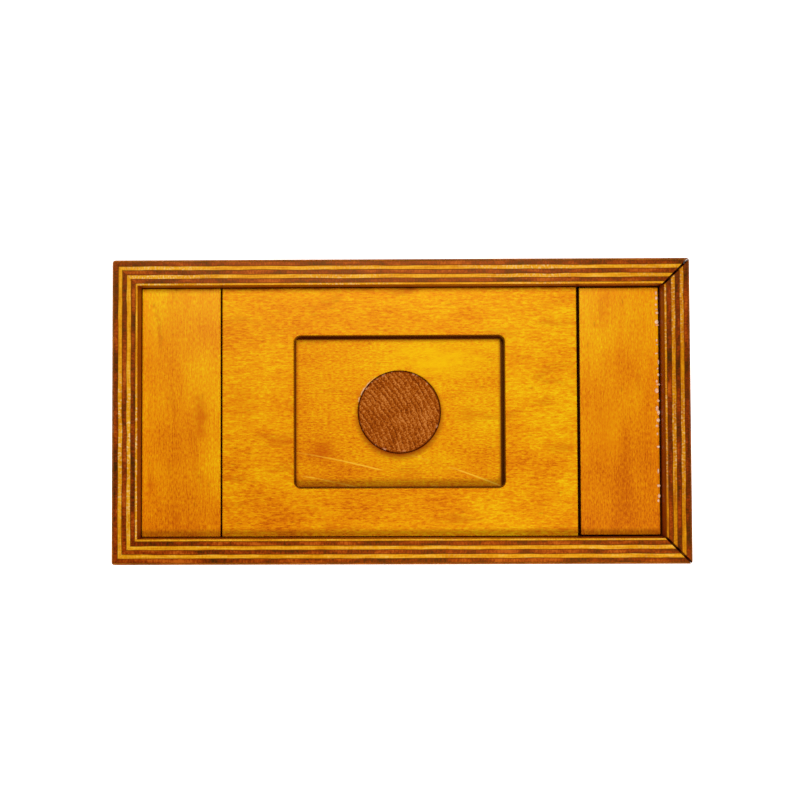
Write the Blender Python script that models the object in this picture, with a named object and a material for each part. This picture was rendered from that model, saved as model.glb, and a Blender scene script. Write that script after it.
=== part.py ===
"""Wooden puzzle box: a mitred plywood case with a sliding drawer behind its right end wall.

The end wall at +X is the front of the drawer and carries a cover board and a tray. A dowel in the
deck turns a one-armed button below it. Turned a quarter, the arm stands in front of a catch on the
tray and the drawer is locked. A loose steel pin drops into a notch of the arm's hub when the box is
tilted and holds the arm where it is.

Metres, +Z up. +X runs along the box towards the drawer front, and the origin is on the table,
under the middle of the box. The box is modelled closed, with its lock released.
"""
import math

import bmesh
import bpy
from mathutils import Vector

MM = 0.001

# Case
LENGTH = 178 * MM            # overall, along X
WIDTH = 94 * MM              # overall, along Y
HEIGHT = 48 * MM             # overall, along Z
WALL = 8 * MM                # plywood of the four walls
EDGE_ROUND = 1 * MM          # sanded outer edges of the walls
BOTTOM = 3 * MM              # plywood of the bottom panel
BOTTOM_RECESS = 1 * MM       # the panel lies this far above the table
REBATE = 3.3 * MM            # depth of the panel's rebate, which takes the three inner plies of a wall

# Cover boards and deck
RIM_STAND = 6 * MM           # the walls stand this far above the cover boards
COVER = 6 * MM               # thickness of the three cover boards
END_BOARD = 24.6 * MM        # width of the left and right cover boards
DECK = 6 * MM                # thickness of the deck under them
WINDOW_LENGTH = 66 * MM
WINDOW_WIDTH = 47.8 * MM
WINDOW_ROUND = 2.2 * MM
BOARD_EDGE = 0.3 * MM        # broken edges of boards and blocks

# Lock
DOWEL_RADIUS = 13 * MM       # head of the dowel, seen in the window
DOWEL_HEAD = 2.9 * MM        # height of the head, which hangs on a step in the deck
SHANK_RADIUS = 10 * MM
HUB_RADIUS = 14 * MM
ARM_WIDTH = 14 * MM
ARM_THICK = 5 * MM
ARM_TIP_ROUND = 3 * MM
SCREW_RADIUS = 1.5 * MM
SCREW_HEAD_RADIUS = 3 * MM
SCREW_LENGTH = 9.4 * MM
SCREW_SLOT = 0.8 * MM
CATCH_LENGTH = 8 * MM        # catch on the tray, along X
CATCH_WIDTH = 8.2 * MM
CATCH_PLAY = 0.65 * MM       # play of the locked drawer

# Tilt pin
PIN_RADIUS = 1.5 * MM
PIN_LENGTH = 16 * MM
PIN_TRAVEL = 5 * MM
PIN_BLOCK_WIDTH = 16 * MM
PLUG_LENGTH = 6.5 * MM

# Drawer
LATCH_ROOM = 6 * MM          # height of the battens and blocks under the deck
BATTEN = 4 * MM              # width of the battens
TRAY_WALL = 4 * MM
TRAY_FLOOR = 3 * MM
STOP_LENGTH = 8 * MM
STOP_SETBACK = 6 * MM        # stop block to the drawer front
LUG_LENGTH = 7 * MM
LUG_WIDTH = 9 * MM

# Clearances
GLUE = 0.3 * MM              # hidden glue joints and screwed joints
SNUG = 0.2 * MM              # fixed cover boards to the walls
BOARD_SEAM = 0.5 * MM        # left to centre cover board
DRAWER_SEAM = 0.9 * MM       # centre to right cover board
RUNNING = 0.4 * MM           # drawer to its guides, arm to the deck
END_CLEARANCE = 0.5 * MM     # drawer to what it closes against
SIDE_CLEARANCE = 0.5 * MM    # drawer to the side walls
TURNING = 0.3 * MM           # dowel in the deck
PIN_CLEARANCE = 0.3 * MM
STOP_GAP = 0.2 * MM          # left between lug and stop block at full travel
MITRE_TIGHT = 0.07 * MM      # taken off each end of a glued mitre, along the wall
MITRE_OPEN = 0.42 * MM       # taken off each end of the drawer's mitres

ROUND_STEPS = 64             # facets of the dowel and its bore
SMALL_STEPS = 32             # facets of pins and screws
TRIM = 1 * MM                # blanks stand this far outside the finished size

# Places that follow from the sizes above
END_FACE = LENGTH / 2 - WALL                  # inner face of the end walls, at +X and -X
SIDE_FACE = WIDTH / 2 - WALL                  # inner face of the side walls, at +Y and -Y
REBATE_TOP = BOTTOM_RECESS + BOTTOM + GLUE
COVER_TOP = HEIGHT - RIM_STAND
COVER_BOTTOM = COVER_TOP - COVER
DECK_TOP = COVER_BOTTOM - GLUE
DECK_BOTTOM = DECK_TOP - DECK
LATCH_TOP = DECK_BOTTOM - GLUE
LATCH_BOTTOM = LATCH_TOP - LATCH_ROOM
TRAY_TOP = LATCH_BOTTOM - RUNNING
TRAY_FLOOR_BOTTOM = BOTTOM_RECESS + BOTTOM + RUNNING
TRAY_SIDE_BOTTOM = TRAY_FLOOR_BOTTOM + TRAY_FLOOR + GLUE
BLOCK_FOOT = (TRAY_TOP + TRAY_SIDE_BOTTOM) / 2   # catch and lug are glued to the upper half
BLOCK_TOP = DECK_BOTTOM - GLUE - RUNNING
LEFT_BOARD_END = -END_FACE + SNUG + END_BOARD
RIGHT_BOARD_END = END_FACE - END_CLEARANCE
RIGHT_BOARD_START = RIGHT_BOARD_END - END_BOARD
CENTRE_START = LEFT_BOARD_END + BOARD_SEAM
CENTRE_END = RIGHT_BOARD_START - DRAWER_SEAM
LOCK_X = (CENTRE_START + CENTRE_END) / 2      # axis of the dowel, middle of the centre board
FIXED_END = END_FACE - END_CLEARANCE          # right end of what the drawer front closes against
TRAY_SIDE = SIDE_FACE - SIDE_CLEARANCE        # outer face of the tray
TRAY_INSIDE = TRAY_SIDE - TRAY_WALL
TRAY_BACK = -END_FACE + END_CLEARANCE         # outer face of the tray's rear
TRAY_FRONT = END_FACE - GLUE
ARM_TOP = DECK_BOTTOM - RUNNING
ARM_BOTTOM = ARM_TOP - ARM_THICK
ARM_REACH = TRAY_INSIDE - 1.5 * MM            # the arm ends just inside the tray's side
HEAD_BOTTOM = DECK_TOP - DOWEL_HEAD
PIN_AXIS_Z = (LATCH_TOP + LATCH_BOTTOM) / 2
PIN_FRONT = LOCK_X - HUB_RADIUS - 2 * PIN_CLEARANCE
PIN_BACK = PIN_FRONT - PIN_LENGTH
PIN_BLOCK_FRONT = PIN_FRONT - 1 * MM          # the pin's end shows, so a finger can feel it
PIN_BLOCK_BACK = PIN_BACK - PIN_CLEARANCE - PLUG_LENGTH
STOP_START = END_FACE - STOP_SETBACK - STOP_LENGTH
LUG_START = TRAY_BACK + TRAY_WALL + GLUE
LUG_END = LUG_START + LUG_LENGTH
DRAWER_TRAVEL = STOP_START - LUG_END - STOP_GAP


def clear_scene():
    """Remove everything from the open file."""
    for thing in list(bpy.data.objects):
        bpy.data.objects.remove(thing, do_unlink=True)


def wood(name, colour, roughness=0.4, metallic=0.0):
    """One piece's material: base colour (linear RGB), roughness and metallic."""
    material = bpy.data.materials.new(name + "_finish")
    material.use_nodes = True
    shader = material.node_tree.nodes["Principled BSDF"]
    shader.inputs["Base Color"].default_value = (*colour, 1.0)
    shader.inputs["Roughness"].default_value = roughness
    shader.inputs["Metallic"].default_value = metallic
    return material


STAINED_PLY = (0.38, 0.10, 0.01)
AMBER_BOARD = (0.75, 0.28, 0.01)
END_GRAIN = (0.40, 0.08, 0.005)
PALE_PLY = (0.62, 0.42, 0.22)
BEECH = (0.55, 0.30, 0.14)
STEEL = (0.55, 0.56, 0.58)


def add_axis(name, location, parent=None):
    """An empty on a joint's axis, which carries the pieces of one moving body."""
    axis = bpy.data.objects.new(name, None)
    axis.empty_display_size = 10 * MM
    bpy.context.collection.objects.link(axis)
    if parent:
        axis.parent = parent
    axis.location = Vector(location)
    return axis


def add_piece(name, mesh, parent, place, material=None, turn=(0, 0, 0)):
    """Put a mesh in the scene under its body's empty, at a place in the box's own frame."""
    piece = bpy.data.objects.new(name, mesh)
    bpy.context.collection.objects.link(piece)
    piece.parent = parent
    piece.location = Vector(place) - parent.location
    piece.rotation_euler = turn
    if material:
        mesh.materials.append(material)
    return piece


def block_mesh(name, size):
    """A rectangular block centred on its own origin."""
    shape = bmesh.new()
    bmesh.ops.create_cube(shape, size=1)
    bmesh.ops.scale(shape, vec=size, verts=shape.verts)
    mesh = bpy.data.meshes.new(name)
    shape.to_mesh(mesh)
    shape.free()
    return mesh


def outline_mesh(name, outline, low, high):
    """A closed solid: an outline in X and Y, anticlockwise, raised from low to high."""
    shape = bmesh.new()
    floor = shape.faces.new([shape.verts.new((x, y, low)) for x, y in outline])
    raised = bmesh.ops.extrude_face_region(shape, geom=[floor])["geom"]
    top = [part for part in raised if isinstance(part, bmesh.types.BMVert)]
    bmesh.ops.translate(shape, verts=top, vec=(0, 0, high - low))
    bmesh.ops.recalc_face_normals(shape, faces=shape.faces)
    mesh = bpy.data.meshes.new(name)
    shape.to_mesh(mesh)
    shape.free()
    return mesh


def turned_mesh(name, profile, steps):
    """A closed turned solid: points (radius, z) from one end on the axis to the other."""
    shape = bmesh.new()
    rings = []
    for radius, z in profile:
        if radius == 0:
            rings.append([shape.verts.new((0, 0, z))])
            continue
        angles = [2 * math.pi * step / steps for step in range(steps)]
        rings.append([shape.verts.new((radius * math.cos(a), radius * math.sin(a), z)) for a in angles])
    for lower, upper in zip(rings, rings[1:]):
        for step in range(steps):
            after = (step + 1) % steps
            if len(lower) == 1:
                shape.faces.new((lower[0], upper[step], upper[after]))
            elif len(upper) == 1:
                shape.faces.new((lower[step], lower[after], upper[0]))
            else:
                shape.faces.new((lower[step], lower[after], upper[after], upper[step]))
    bmesh.ops.recalc_face_normals(shape, faces=shape.faces)
    mesh = bpy.data.meshes.new(name)
    shape.to_mesh(mesh)
    shape.free()
    mesh.shade_smooth()
    mesh.set_sharp_from_angle(angle=math.radians(30))
    return mesh


def arc(centre, radius, start, end, steps):
    """Points (x, y) along an arc, angles in degrees."""
    turns = [math.radians(start + (end - start) * step / steps) for step in range(steps + 1)]
    return [(centre[0] + radius * math.cos(a), centre[1] + radius * math.sin(a)) for a in turns]


def rounded_outline(length, width, radius, steps=6):
    """A rectangle with round corners, centred, anticlockwise from its right side."""
    x = length / 2 - radius
    y = width / 2 - radius
    corners = ((x, y, 0), (-x, y, 90), (-x, -y, 180), (x, -y, 270))
    outline = []
    for corner_x, corner_y, start in corners:
        outline += arc((corner_x, corner_y), radius, start, start + 90, steps)
    return outline


def cut(piece, cutter, operation="DIFFERENCE"):
    """Work a piece with a cutter, which stays in the file as a guide and isn't part of the box."""
    cutter.hide_render = True
    cutter.display_type = "WIRE"
    tool = piece.modifiers.new(cutter.name, "BOOLEAN")
    tool.operation = operation
    tool.solver = "EXACT"
    tool.object = cutter


def break_edges(piece, width=BOARD_EDGE):
    """Take the sharpness off a board's edges."""
    edge = piece.modifiers.new("broken_edges", "BEVEL")
    edge.width = width
    edge.segments = 1
    edge.limit_method = "ANGLE"
    edge.angle_limit = math.radians(60)
    edge.use_clamp_overlap = True


def board(name, low, high, parent, colour, roughness=0.45, edges=True):
    """A rectangular board or block between two corners, with broken edges."""
    low = Vector(low)
    high = Vector(high)
    mesh = block_mesh(name, high - low)
    piece = add_piece(name, mesh, parent, (low + high) / 2, wood(name, colour, roughness))
    if edges:
        break_edges(piece)
    return piece


def wall_mesh(name, length, low, mitre_gap, rebated=True):
    """A mitred wall blank. Its outer face is at y = 0, its inner face at y = WALL.

    The blank stands TRIM outside the finished box, and the ends run at 45 degrees through the
    profile. mitre_gap gives what is taken off at its start and at its end.
    """
    profile = [(-TRIM, low), (WALL - REBATE, low), (WALL - REBATE, REBATE_TOP), (WALL, REBATE_TOP)]
    if not rebated:
        profile = [(-TRIM, low), (WALL, low)]
    profile += [(WALL, HEIGHT + TRIM), (-TRIM, HEIGHT + TRIM)]
    shape = bmesh.new()
    start = [shape.verts.new((-length / 2 + mitre_gap[0] + y, y, z)) for y, z in profile]
    end = [shape.verts.new((length / 2 - mitre_gap[1] - y, y, z)) for y, z in profile]
    shape.faces.new(start)
    shape.faces.new(end)
    count = len(profile)
    for corner in range(count):
        after = (corner + 1) % count
        shape.faces.new((start[corner], start[after], end[after], end[corner]))
    bmesh.ops.recalc_face_normals(shape, faces=shape.faces)
    mesh = bpy.data.meshes.new(name)
    shape.to_mesh(mesh)
    shape.free()
    return mesh


def add_envelope(case):
    """The finished outside of the box, with its sanded edges, which trims the four walls."""
    mesh = block_mesh("sanded_outside", (LENGTH, WIDTH, HEIGHT))
    envelope = add_piece("sanded_outside", mesh, case, (0, 0, HEIGHT / 2))
    rounding = envelope.modifiers.new("sanding", "BEVEL")
    rounding.width = EDGE_ROUND
    rounding.segments = 3
    rounding.limit_method = "NONE"
    envelope.hide_render = True
    envelope.display_type = "WIRE"
    return envelope


def add_walls(case, drawer):
    """Four mitred walls. The one at +X belongs to the drawer and stays clear of the table."""
    envelope = add_envelope(case)
    tight = (MITRE_TIGHT, MITRE_TIGHT)
    open_end = (MITRE_TIGHT, MITRE_OPEN)
    open_start = (MITRE_OPEN, MITRE_TIGHT)
    moving = (MITRE_OPEN, MITRE_OPEN)
    quarter = math.pi / 2
    walls = (
        ("front_wall", LENGTH, -TRIM, open_end, case, (0, -WIDTH / 2, 0), 0),
        ("back_wall", LENGTH, -TRIM, open_start, case, (0, WIDTH / 2, 0), 2 * quarter),
        ("left_end_wall", WIDTH, -TRIM, tight, case, (-LENGTH / 2, 0, 0), -quarter),
        ("right_end_wall", WIDTH, RUNNING, moving, drawer, (LENGTH / 2, 0, 0), quarter),
    )
    for name, length, low, gaps, body, place, turn in walls:
        mesh = wall_mesh(name, length, low, gaps, rebated=body is case)
        wall = add_piece(name, mesh, body, place, wood(name, STAINED_PLY, 0.4), (0, 0, turn))
        cut(wall, envelope, "INTERSECT")


def add_bottom(case):
    """The bottom panel, in the rebates of the three fixed walls."""
    reach = REBATE - GLUE
    low = (-END_FACE - reach, -SIDE_FACE - reach, BOTTOM_RECESS)
    high = (FIXED_END, SIDE_FACE + reach, BOTTOM_RECESS + BOTTOM)
    board("bottom_panel", low, high, case, PALE_PLY, 0.55)


def add_battens(case):
    """Strips along the two sides and the left end. They carry the deck and guide the tray."""
    outer = SIDE_FACE - GLUE
    inner = outer - BATTEN
    left = -END_FACE + GLUE
    board("front_batten", (left, -outer, LATCH_BOTTOM), (FIXED_END, -inner, LATCH_TOP), case, BEECH)
    board("back_batten", (left, inner, LATCH_BOTTOM), (FIXED_END, outer, LATCH_TOP), case, BEECH)
    between = inner - GLUE
    low = (left, -between, LATCH_BOTTOM)
    board("end_batten", low, (left + BATTEN, between, LATCH_TOP), case, BEECH)


def add_deck(case):
    """The deck, with a stepped bore that the dowel's head hangs in."""
    side = SIDE_FACE - GLUE
    low = (-END_FACE + GLUE, -side, DECK_BOTTOM)
    deck = board("deck", low, (FIXED_END, side, DECK_TOP), case, AMBER_BOARD, 0.35)
    step = HEAD_BOTTOM - TURNING
    head = DOWEL_RADIUS + TURNING
    shank = SHANK_RADIUS + TURNING
    below = DECK_BOTTOM - TRIM
    above = DECK_TOP + TRIM
    profile = ((0, below), (shank, below), (shank, step), (head, step), (head, above), (0, above))
    mesh = turned_mesh("deck_bore", profile, ROUND_STEPS)
    cut(deck, add_piece("deck_bore", mesh, case, (LOCK_X, 0, 0)))


def add_covers(case, drawer):
    """Three cover boards. The right one is glued to the drawer front and slides over the deck."""
    side = SIDE_FACE - SNUG
    low = (-END_FACE + SNUG, -side, COVER_BOTTOM)
    board("left_top_board", low, (LEFT_BOARD_END, side, COVER_TOP), case, AMBER_BOARD, 0.35)

    low = (CENTRE_START, -side, COVER_BOTTOM)
    centre = board("centre_top_board", low, (CENTRE_END, side, COVER_TOP), case, AMBER_BOARD, 0.35)
    outline = rounded_outline(WINDOW_LENGTH, WINDOW_WIDTH, WINDOW_ROUND)
    mesh = outline_mesh("window", outline, COVER_BOTTOM - TRIM, COVER_TOP + TRIM)
    cut(centre, add_piece("window", mesh, case, (LOCK_X, 0, 0)))

    side = TRAY_SIDE
    low = (RIGHT_BOARD_START, -side, COVER_BOTTOM)
    board("right_top_board", low, (RIGHT_BOARD_END, side, COVER_TOP), drawer, AMBER_BOARD, 0.35)


def add_tray(drawer):
    """The drawer's tray: floor, two sides, rear and head, which is glued to the drawer front."""
    floor_low = (TRAY_BACK, -TRAY_SIDE, TRAY_FLOOR_BOTTOM)
    floor_high = (TRAY_FRONT, TRAY_SIDE, TRAY_FLOOR_BOTTOM + TRAY_FLOOR)
    board("tray_bottom", floor_low, floor_high, drawer, PALE_PLY, 0.55)
    for name, inner, outer in (("tray_front_side", -TRAY_INSIDE, -TRAY_SIDE),
                               ("tray_back_side", TRAY_INSIDE, TRAY_SIDE)):
        low = (TRAY_BACK, min(inner, outer), TRAY_SIDE_BOTTOM)
        board(name, low, (TRAY_FRONT, max(inner, outer), TRAY_TOP), drawer, PALE_PLY, 0.5)
    across = TRAY_INSIDE - GLUE
    for name, start in (("tray_rear", TRAY_BACK), ("tray_head", TRAY_FRONT - TRAY_WALL)):
        low = (start, -across, TRAY_SIDE_BOTTOM)
        board(name, low, (start + TRAY_WALL, across, TRAY_TOP), drawer, PALE_PLY, 0.5)


def add_catches(case, drawer):
    """The catch that the arm holds back, the lug at the tray's rear, and the block that stops it."""
    catch_end = LOCK_X - ARM_WIDTH / 2 - CATCH_PLAY
    outer = TRAY_INSIDE - GLUE
    low = (catch_end - CATCH_LENGTH, outer - CATCH_WIDTH, BLOCK_FOOT)
    board("catch_block", low, (catch_end, outer, BLOCK_TOP), drawer, BEECH)
    low = (LUG_START, -outer, BLOCK_FOOT)
    board("stop_lug", low, (LUG_END, -outer + LUG_WIDTH, BLOCK_TOP), drawer, BEECH)
    low = (STOP_START, -outer, LATCH_BOTTOM)
    board("stop_block", low, (STOP_START + STOP_LENGTH, -outer + LUG_WIDTH, LATCH_TOP), case, BEECH)


def add_dowel(lock):
    """The dowel: a head flush with the deck, a shank through it, and a blind hole for the screw."""
    foot = ARM_TOP + GLUE
    hole = SCREW_RADIUS + GLUE
    hole_top = ARM_BOTTOM + SCREW_LENGTH + GLUE
    profile = (
        (0, hole_top), (hole, hole_top), (hole, foot), (SHANK_RADIUS, foot), (SHANK_RADIUS, HEAD_BOTTOM),
        (DOWEL_RADIUS, HEAD_BOTTOM), (DOWEL_RADIUS, DECK_TOP - BOARD_EDGE),
        (DOWEL_RADIUS - BOARD_EDGE, DECK_TOP), (0, DECK_TOP),
    )
    mesh = turned_mesh("lock_dowel", profile, ROUND_STEPS)
    add_piece("lock_dowel", mesh, lock, lock.location, wood("lock_dowel", END_GRAIN, 0.5))


def arm_outline():
    """The arm from below the deck: a round hub with two notches for the pin, and one arm at +X."""
    half = ARM_WIDTH / 2
    notch = PIN_RADIUS + PIN_CLEARANCE
    floor = HUB_RADIUS - PIN_TRAVEL - PIN_CLEARANCE
    lean = math.degrees(math.asin(notch / HUB_RADIUS))
    root = math.degrees(math.asin(half / HUB_RADIUS))
    tip = ARM_REACH - ARM_TIP_ROUND
    outline = arc((tip, half - ARM_TIP_ROUND), ARM_TIP_ROUND, 0, 90, 6)
    outline += arc((0, 0), HUB_RADIUS, root, 90 - lean, 8)
    outline += [(notch, floor), (-notch, floor)]
    outline += arc((0, 0), HUB_RADIUS, 90 + lean, 180 - lean, 10)
    outline += [(-floor, notch), (-floor, -notch)]
    outline += arc((0, 0), HUB_RADIUS, 180 + lean, 360 - root, 20)
    outline += arc((tip, ARM_TIP_ROUND - half), ARM_TIP_ROUND, 270, 360, 6)
    return outline


def add_arm(lock):
    """The turn button, screwed to the dowel from below, and its countersunk slotted screw."""
    mesh = outline_mesh("lock_arm", arm_outline(), ARM_BOTTOM, ARM_TOP)
    arm = add_piece("lock_arm", mesh, lock, (LOCK_X, 0, 0), wood("lock_arm", BEECH, 0.45))
    hole = SCREW_RADIUS + GLUE
    sink = SCREW_HEAD_RADIUS + GLUE
    flare = ARM_BOTTOM + GLUE + SCREW_HEAD_RADIUS - SCREW_RADIUS
    profile = ((0, ARM_BOTTOM - TRIM), (sink, ARM_BOTTOM - TRIM), (sink, ARM_BOTTOM + GLUE),
               (hole, flare), (hole, ARM_TOP + TRIM), (0, ARM_TOP + TRIM))
    mesh = turned_mesh("arm_screw_hole", profile, SMALL_STEPS)
    cut(arm, add_piece("arm_screw_hole", mesh, lock, (LOCK_X, 0, 0)))

    neck = ARM_BOTTOM + SCREW_HEAD_RADIUS - SCREW_RADIUS
    point = ARM_BOTTOM + SCREW_LENGTH
    profile = ((0, ARM_BOTTOM), (SCREW_HEAD_RADIUS, ARM_BOTTOM), (SCREW_RADIUS, neck),
               (SCREW_RADIUS, point - 2 * SCREW_RADIUS), (0, point))
    mesh = turned_mesh("arm_screw", profile, SMALL_STEPS)
    screw = add_piece("arm_screw", mesh, lock, (LOCK_X, 0, 0), wood("arm_screw", STEEL, 0.35, 1.0))
    slot = block_mesh("screw_slot", (4 * SCREW_HEAD_RADIUS, SCREW_SLOT, 2 * SCREW_SLOT))
    cut(screw, add_piece("screw_slot", slot, lock, (LOCK_X, 0, ARM_BOTTOM)))


def pin_profile(radius, length):
    """A plain pin from z = 0 to z = length, with small chamfers."""
    chamfer = BOARD_EDGE
    return ((0, 0), (radius - chamfer, 0), (radius, chamfer), (radius, length - chamfer),
            (radius - chamfer, length), (0, length))


def add_tilt_pin(case, pin_slide):
    """The loose pin, the block that holds its bore, and the plug in the bore's far end."""
    along_x = (0, math.pi / 2, 0)
    mesh = turned_mesh("tilt_pin", pin_profile(PIN_RADIUS, PIN_LENGTH), SMALL_STEPS)
    place = (PIN_BACK, 0, PIN_AXIS_Z)
    add_piece("tilt_pin", mesh, pin_slide, place, wood("tilt_pin", STEEL, 0.3, 1.0), along_x)

    half = PIN_BLOCK_WIDTH / 2
    low = (PIN_BLOCK_BACK, -half, LATCH_BOTTOM)
    block = board("pin_block", low, (PIN_BLOCK_FRONT, half, LATCH_TOP), case, BEECH)
    length = PIN_BLOCK_FRONT - PIN_BLOCK_BACK + 2 * TRIM
    radius = PIN_RADIUS + PIN_CLEARANCE
    mesh = turned_mesh("pin_bore", ((0, 0), (radius, 0), (radius, length), (0, length)), SMALL_STEPS)
    start = (PIN_BLOCK_BACK - TRIM, 0, PIN_AXIS_Z)
    cut(block, add_piece("pin_bore", mesh, case, start, turn=along_x))

    mesh = turned_mesh("pin_bore_plug", pin_profile(radius - GLUE, PLUG_LENGTH), SMALL_STEPS)
    place = (PIN_BLOCK_BACK, 0, PIN_AXIS_Z)
    add_piece("pin_bore_plug", mesh, case, place, wood("pin_bore_plug", BEECH), along_x)


def main():
    clear_scene()
    case = add_axis("case_frame", (0, 0, 0))
    drawer = add_axis("drawer_slide", (TRAY_BACK, 0, TRAY_FLOOR_BOTTOM))
    lock = add_axis("lock_axis", (LOCK_X, 0, 0))
    pin_slide = add_axis("tilt_pin_slide", (PIN_BACK, 0, PIN_AXIS_Z))
    add_walls(case, drawer)
    add_bottom(case)
    add_battens(case)
    add_deck(case)
    add_covers(case, drawer)
    add_tray(drawer)
    add_catches(case, drawer)
    add_dowel(lock)
    add_arm(lock)
    add_tilt_pin(case, pin_slide)
    print("drawer travel %.1f mm" % (DRAWER_TRAVEL / MM))


main()
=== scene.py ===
# %% [markdown]
# # A wooden puzzle box
#
# The box is a frame of mitred plywood around three amber boards. The middle board has a window,
# and in the window a dowel stands flush in a deck. The end wall on the right is the front of a
# drawer. This file gives every piece its real surface: plywood that shows its veneers, varnished
# boards with figure, end grain on the dowel, and beads of glue where the drawer's board was glued
# in.
#
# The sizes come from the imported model, which is loaded first and never changed.

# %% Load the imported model
import math

import bmesh
import bpy
from mathutils import Matrix, Vector


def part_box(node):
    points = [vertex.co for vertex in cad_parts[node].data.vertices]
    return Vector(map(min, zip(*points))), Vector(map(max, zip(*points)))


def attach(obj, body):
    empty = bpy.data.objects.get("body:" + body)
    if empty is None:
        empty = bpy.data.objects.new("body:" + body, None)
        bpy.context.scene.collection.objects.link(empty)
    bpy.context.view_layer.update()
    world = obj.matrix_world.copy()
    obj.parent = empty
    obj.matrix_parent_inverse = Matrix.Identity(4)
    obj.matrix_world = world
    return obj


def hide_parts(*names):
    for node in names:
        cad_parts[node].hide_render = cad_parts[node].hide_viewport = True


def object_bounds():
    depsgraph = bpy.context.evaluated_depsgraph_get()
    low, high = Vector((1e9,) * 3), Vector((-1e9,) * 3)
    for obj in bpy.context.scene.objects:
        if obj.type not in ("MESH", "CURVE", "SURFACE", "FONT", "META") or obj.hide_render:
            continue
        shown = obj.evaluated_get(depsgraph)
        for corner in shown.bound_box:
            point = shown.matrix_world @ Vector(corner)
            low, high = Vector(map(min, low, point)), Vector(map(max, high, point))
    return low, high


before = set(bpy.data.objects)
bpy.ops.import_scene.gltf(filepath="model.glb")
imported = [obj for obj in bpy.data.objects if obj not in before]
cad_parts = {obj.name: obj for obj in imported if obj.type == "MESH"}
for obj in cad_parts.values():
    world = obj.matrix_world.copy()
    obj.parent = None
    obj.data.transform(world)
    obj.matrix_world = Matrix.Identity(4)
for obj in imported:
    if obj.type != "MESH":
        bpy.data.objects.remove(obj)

CAD_LOW, CAD_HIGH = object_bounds()
MM = 0.001
print("model box in mm:", [round(side / MM, 1) for side in CAD_HIGH - CAD_LOW])


# %% [markdown]
# ## Two small helpers
#
# Colours are written as sRGB hex, as a paint chart gives them, and the renderer wants linear
# light, so one function turns one into the other. Another adds a node: it sets the node's
# properties, gives each input either a value or a link, and hands back the output that the next
# node needs. With these, a material reads as a short list of what it is made of.

# %% Colours and nodes
def colour(text, alpha=1.0):
    """An sRGB hex colour as linear RGBA."""
    parts = [int(text[i:i + 2], 16) / 255 for i in (1, 3, 5)]
    linear = [p / 12.92 if p <= 0.04045 else ((p + 0.055) / 1.055) ** 2.4 for p in parts]
    return (*linear, alpha)


def add(tree, kind, inputs=None, stops=None, out=0, **settings):
    """Add a node and return one of its outputs, or with out=None the node itself.

    inputs maps an input's name or number to a value or to another node's output.
    """
    made = tree.nodes.new(kind)
    for name, value in settings.items():
        setattr(made, name, value)
    for key, value in (inputs or {}).items():
        if isinstance(value, bpy.types.NodeSocket):
            tree.links.new(value, made.inputs[key])
        else:
            made.inputs[key].default_value = value
    if stops:
        ramp = made.color_ramp
        while len(ramp.elements) < len(stops):
            ramp.elements.new(0.5)
        for element, (place, tone) in zip(ramp.elements, stops):
            element.position = place
            element.color = colour(tone)
    return made if out is None else made.outputs[out]


print("amber in linear light:", [round(part, 3) for part in colour("#EB9A03")])


# %% [markdown]
# ## Wood needs its own directions
#
# Grain runs along a board, so every pattern has to know which way the board lies. Each finished
# mesh therefore carries a point attribute, "board", with the place of the point in the board's own
# directions: x along the grain, y through the thickness or across, z the third way. Materials read
# it in millimetres and never care how the board was turned. An offset gives each board its own
# stretch of the pattern, as if it was sawn from another place in the log.

# %% Board directions
def board_millimetres(tree, offset=(0.0, 0.0, 0.0)):
    """The "board" attribute in millimetres, moved by an offset."""
    place = add(tree, "ShaderNodeAttribute", attribute_name="board", out="Vector")
    return add(tree, "ShaderNodeVectorMath", {0: place, 1: (1000, 1000, 1000), 2: offset},
               operation="MULTIPLY_ADD")


def box_millimetres(tree):
    """The place in the whole box, in millimetres."""
    place = add(tree, "ShaderNodeTexCoord", out="Object")
    return add(tree, "ShaderNodeVectorMath", {0: place, "Scale": 1000.0}, operation="SCALE")


def mark_grain(mesh, centre, along, through):
    """Store the "board" attribute on a mesh whose grain runs along one axis (0, 1 or 2)."""
    third = 3 - along - through
    marks = mesh.attributes.new("board", "FLOAT_VECTOR", "POINT")
    for vertex, mark in zip(mesh.vertices, marks.data):
        place = vertex.co - centre
        mark.vector = (place[along], place[through], place[third])


print("box patterns run over", *[round(side / MM) for side in CAD_HIGH - CAD_LOW], "mm")


# %% [markdown]
# ## Three words for describing wood
#
# A *cloud* is an irregular pattern with lumps of a stated size in millimetres, long ones for
# streaks and tiny ones for pores. A *layer* lays one colour over another where a pattern passes
# from one value to another, as stain soaks in where the wood is open. *Weighed* adds patterns up,
# each with its own weight, which is how a colour comes to drift for more than one reason at once.

# %% Clouds, layers and weights
def cloud(tree, spot, size, detail=2.0, roughness=0.5, distortion=0.0):
    """An irregular pattern, 0 to 1, whose lumps have a size in mm along the three directions."""
    scaled = add(tree, "ShaderNodeVectorMath", {0: spot, 1: [1 / side for side in size]},
                 operation="MULTIPLY")
    return add(tree, "ShaderNodeTexNoise", {"Vector": scaled, "Scale": 1.0, "Detail": detail,
                                            "Roughness": roughness, "Distortion": distortion})


def layer(tree, below, tone, pattern, low, high, strength=1.0):
    """Lay a colour over another where a pattern goes from low to high; low may be above high."""
    mask = add(tree, "ShaderNodeMapRange", {"Value": pattern, "From Min": low, "From Max": high,
                                            "To Max": strength})
    over = colour(tone) if isinstance(tone, str) else tone
    return add(tree, "ShaderNodeMix", {"Factor": mask, "A": below, "B": over}, out=2,
               data_type="RGBA")


def weighed(tree, base, *parts):
    """A number plus each pattern times its weight, less half the weight."""
    total = base
    for value, weight in parts:
        centred = add(tree, "ShaderNodeMath", {0: value, 1: 0.5}, operation="SUBTRACT")
        total = add(tree, "ShaderNodeMath", {0: centred, 1: weight, 2: total},
                    operation="MULTIPLY_ADD")
    return total


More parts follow.
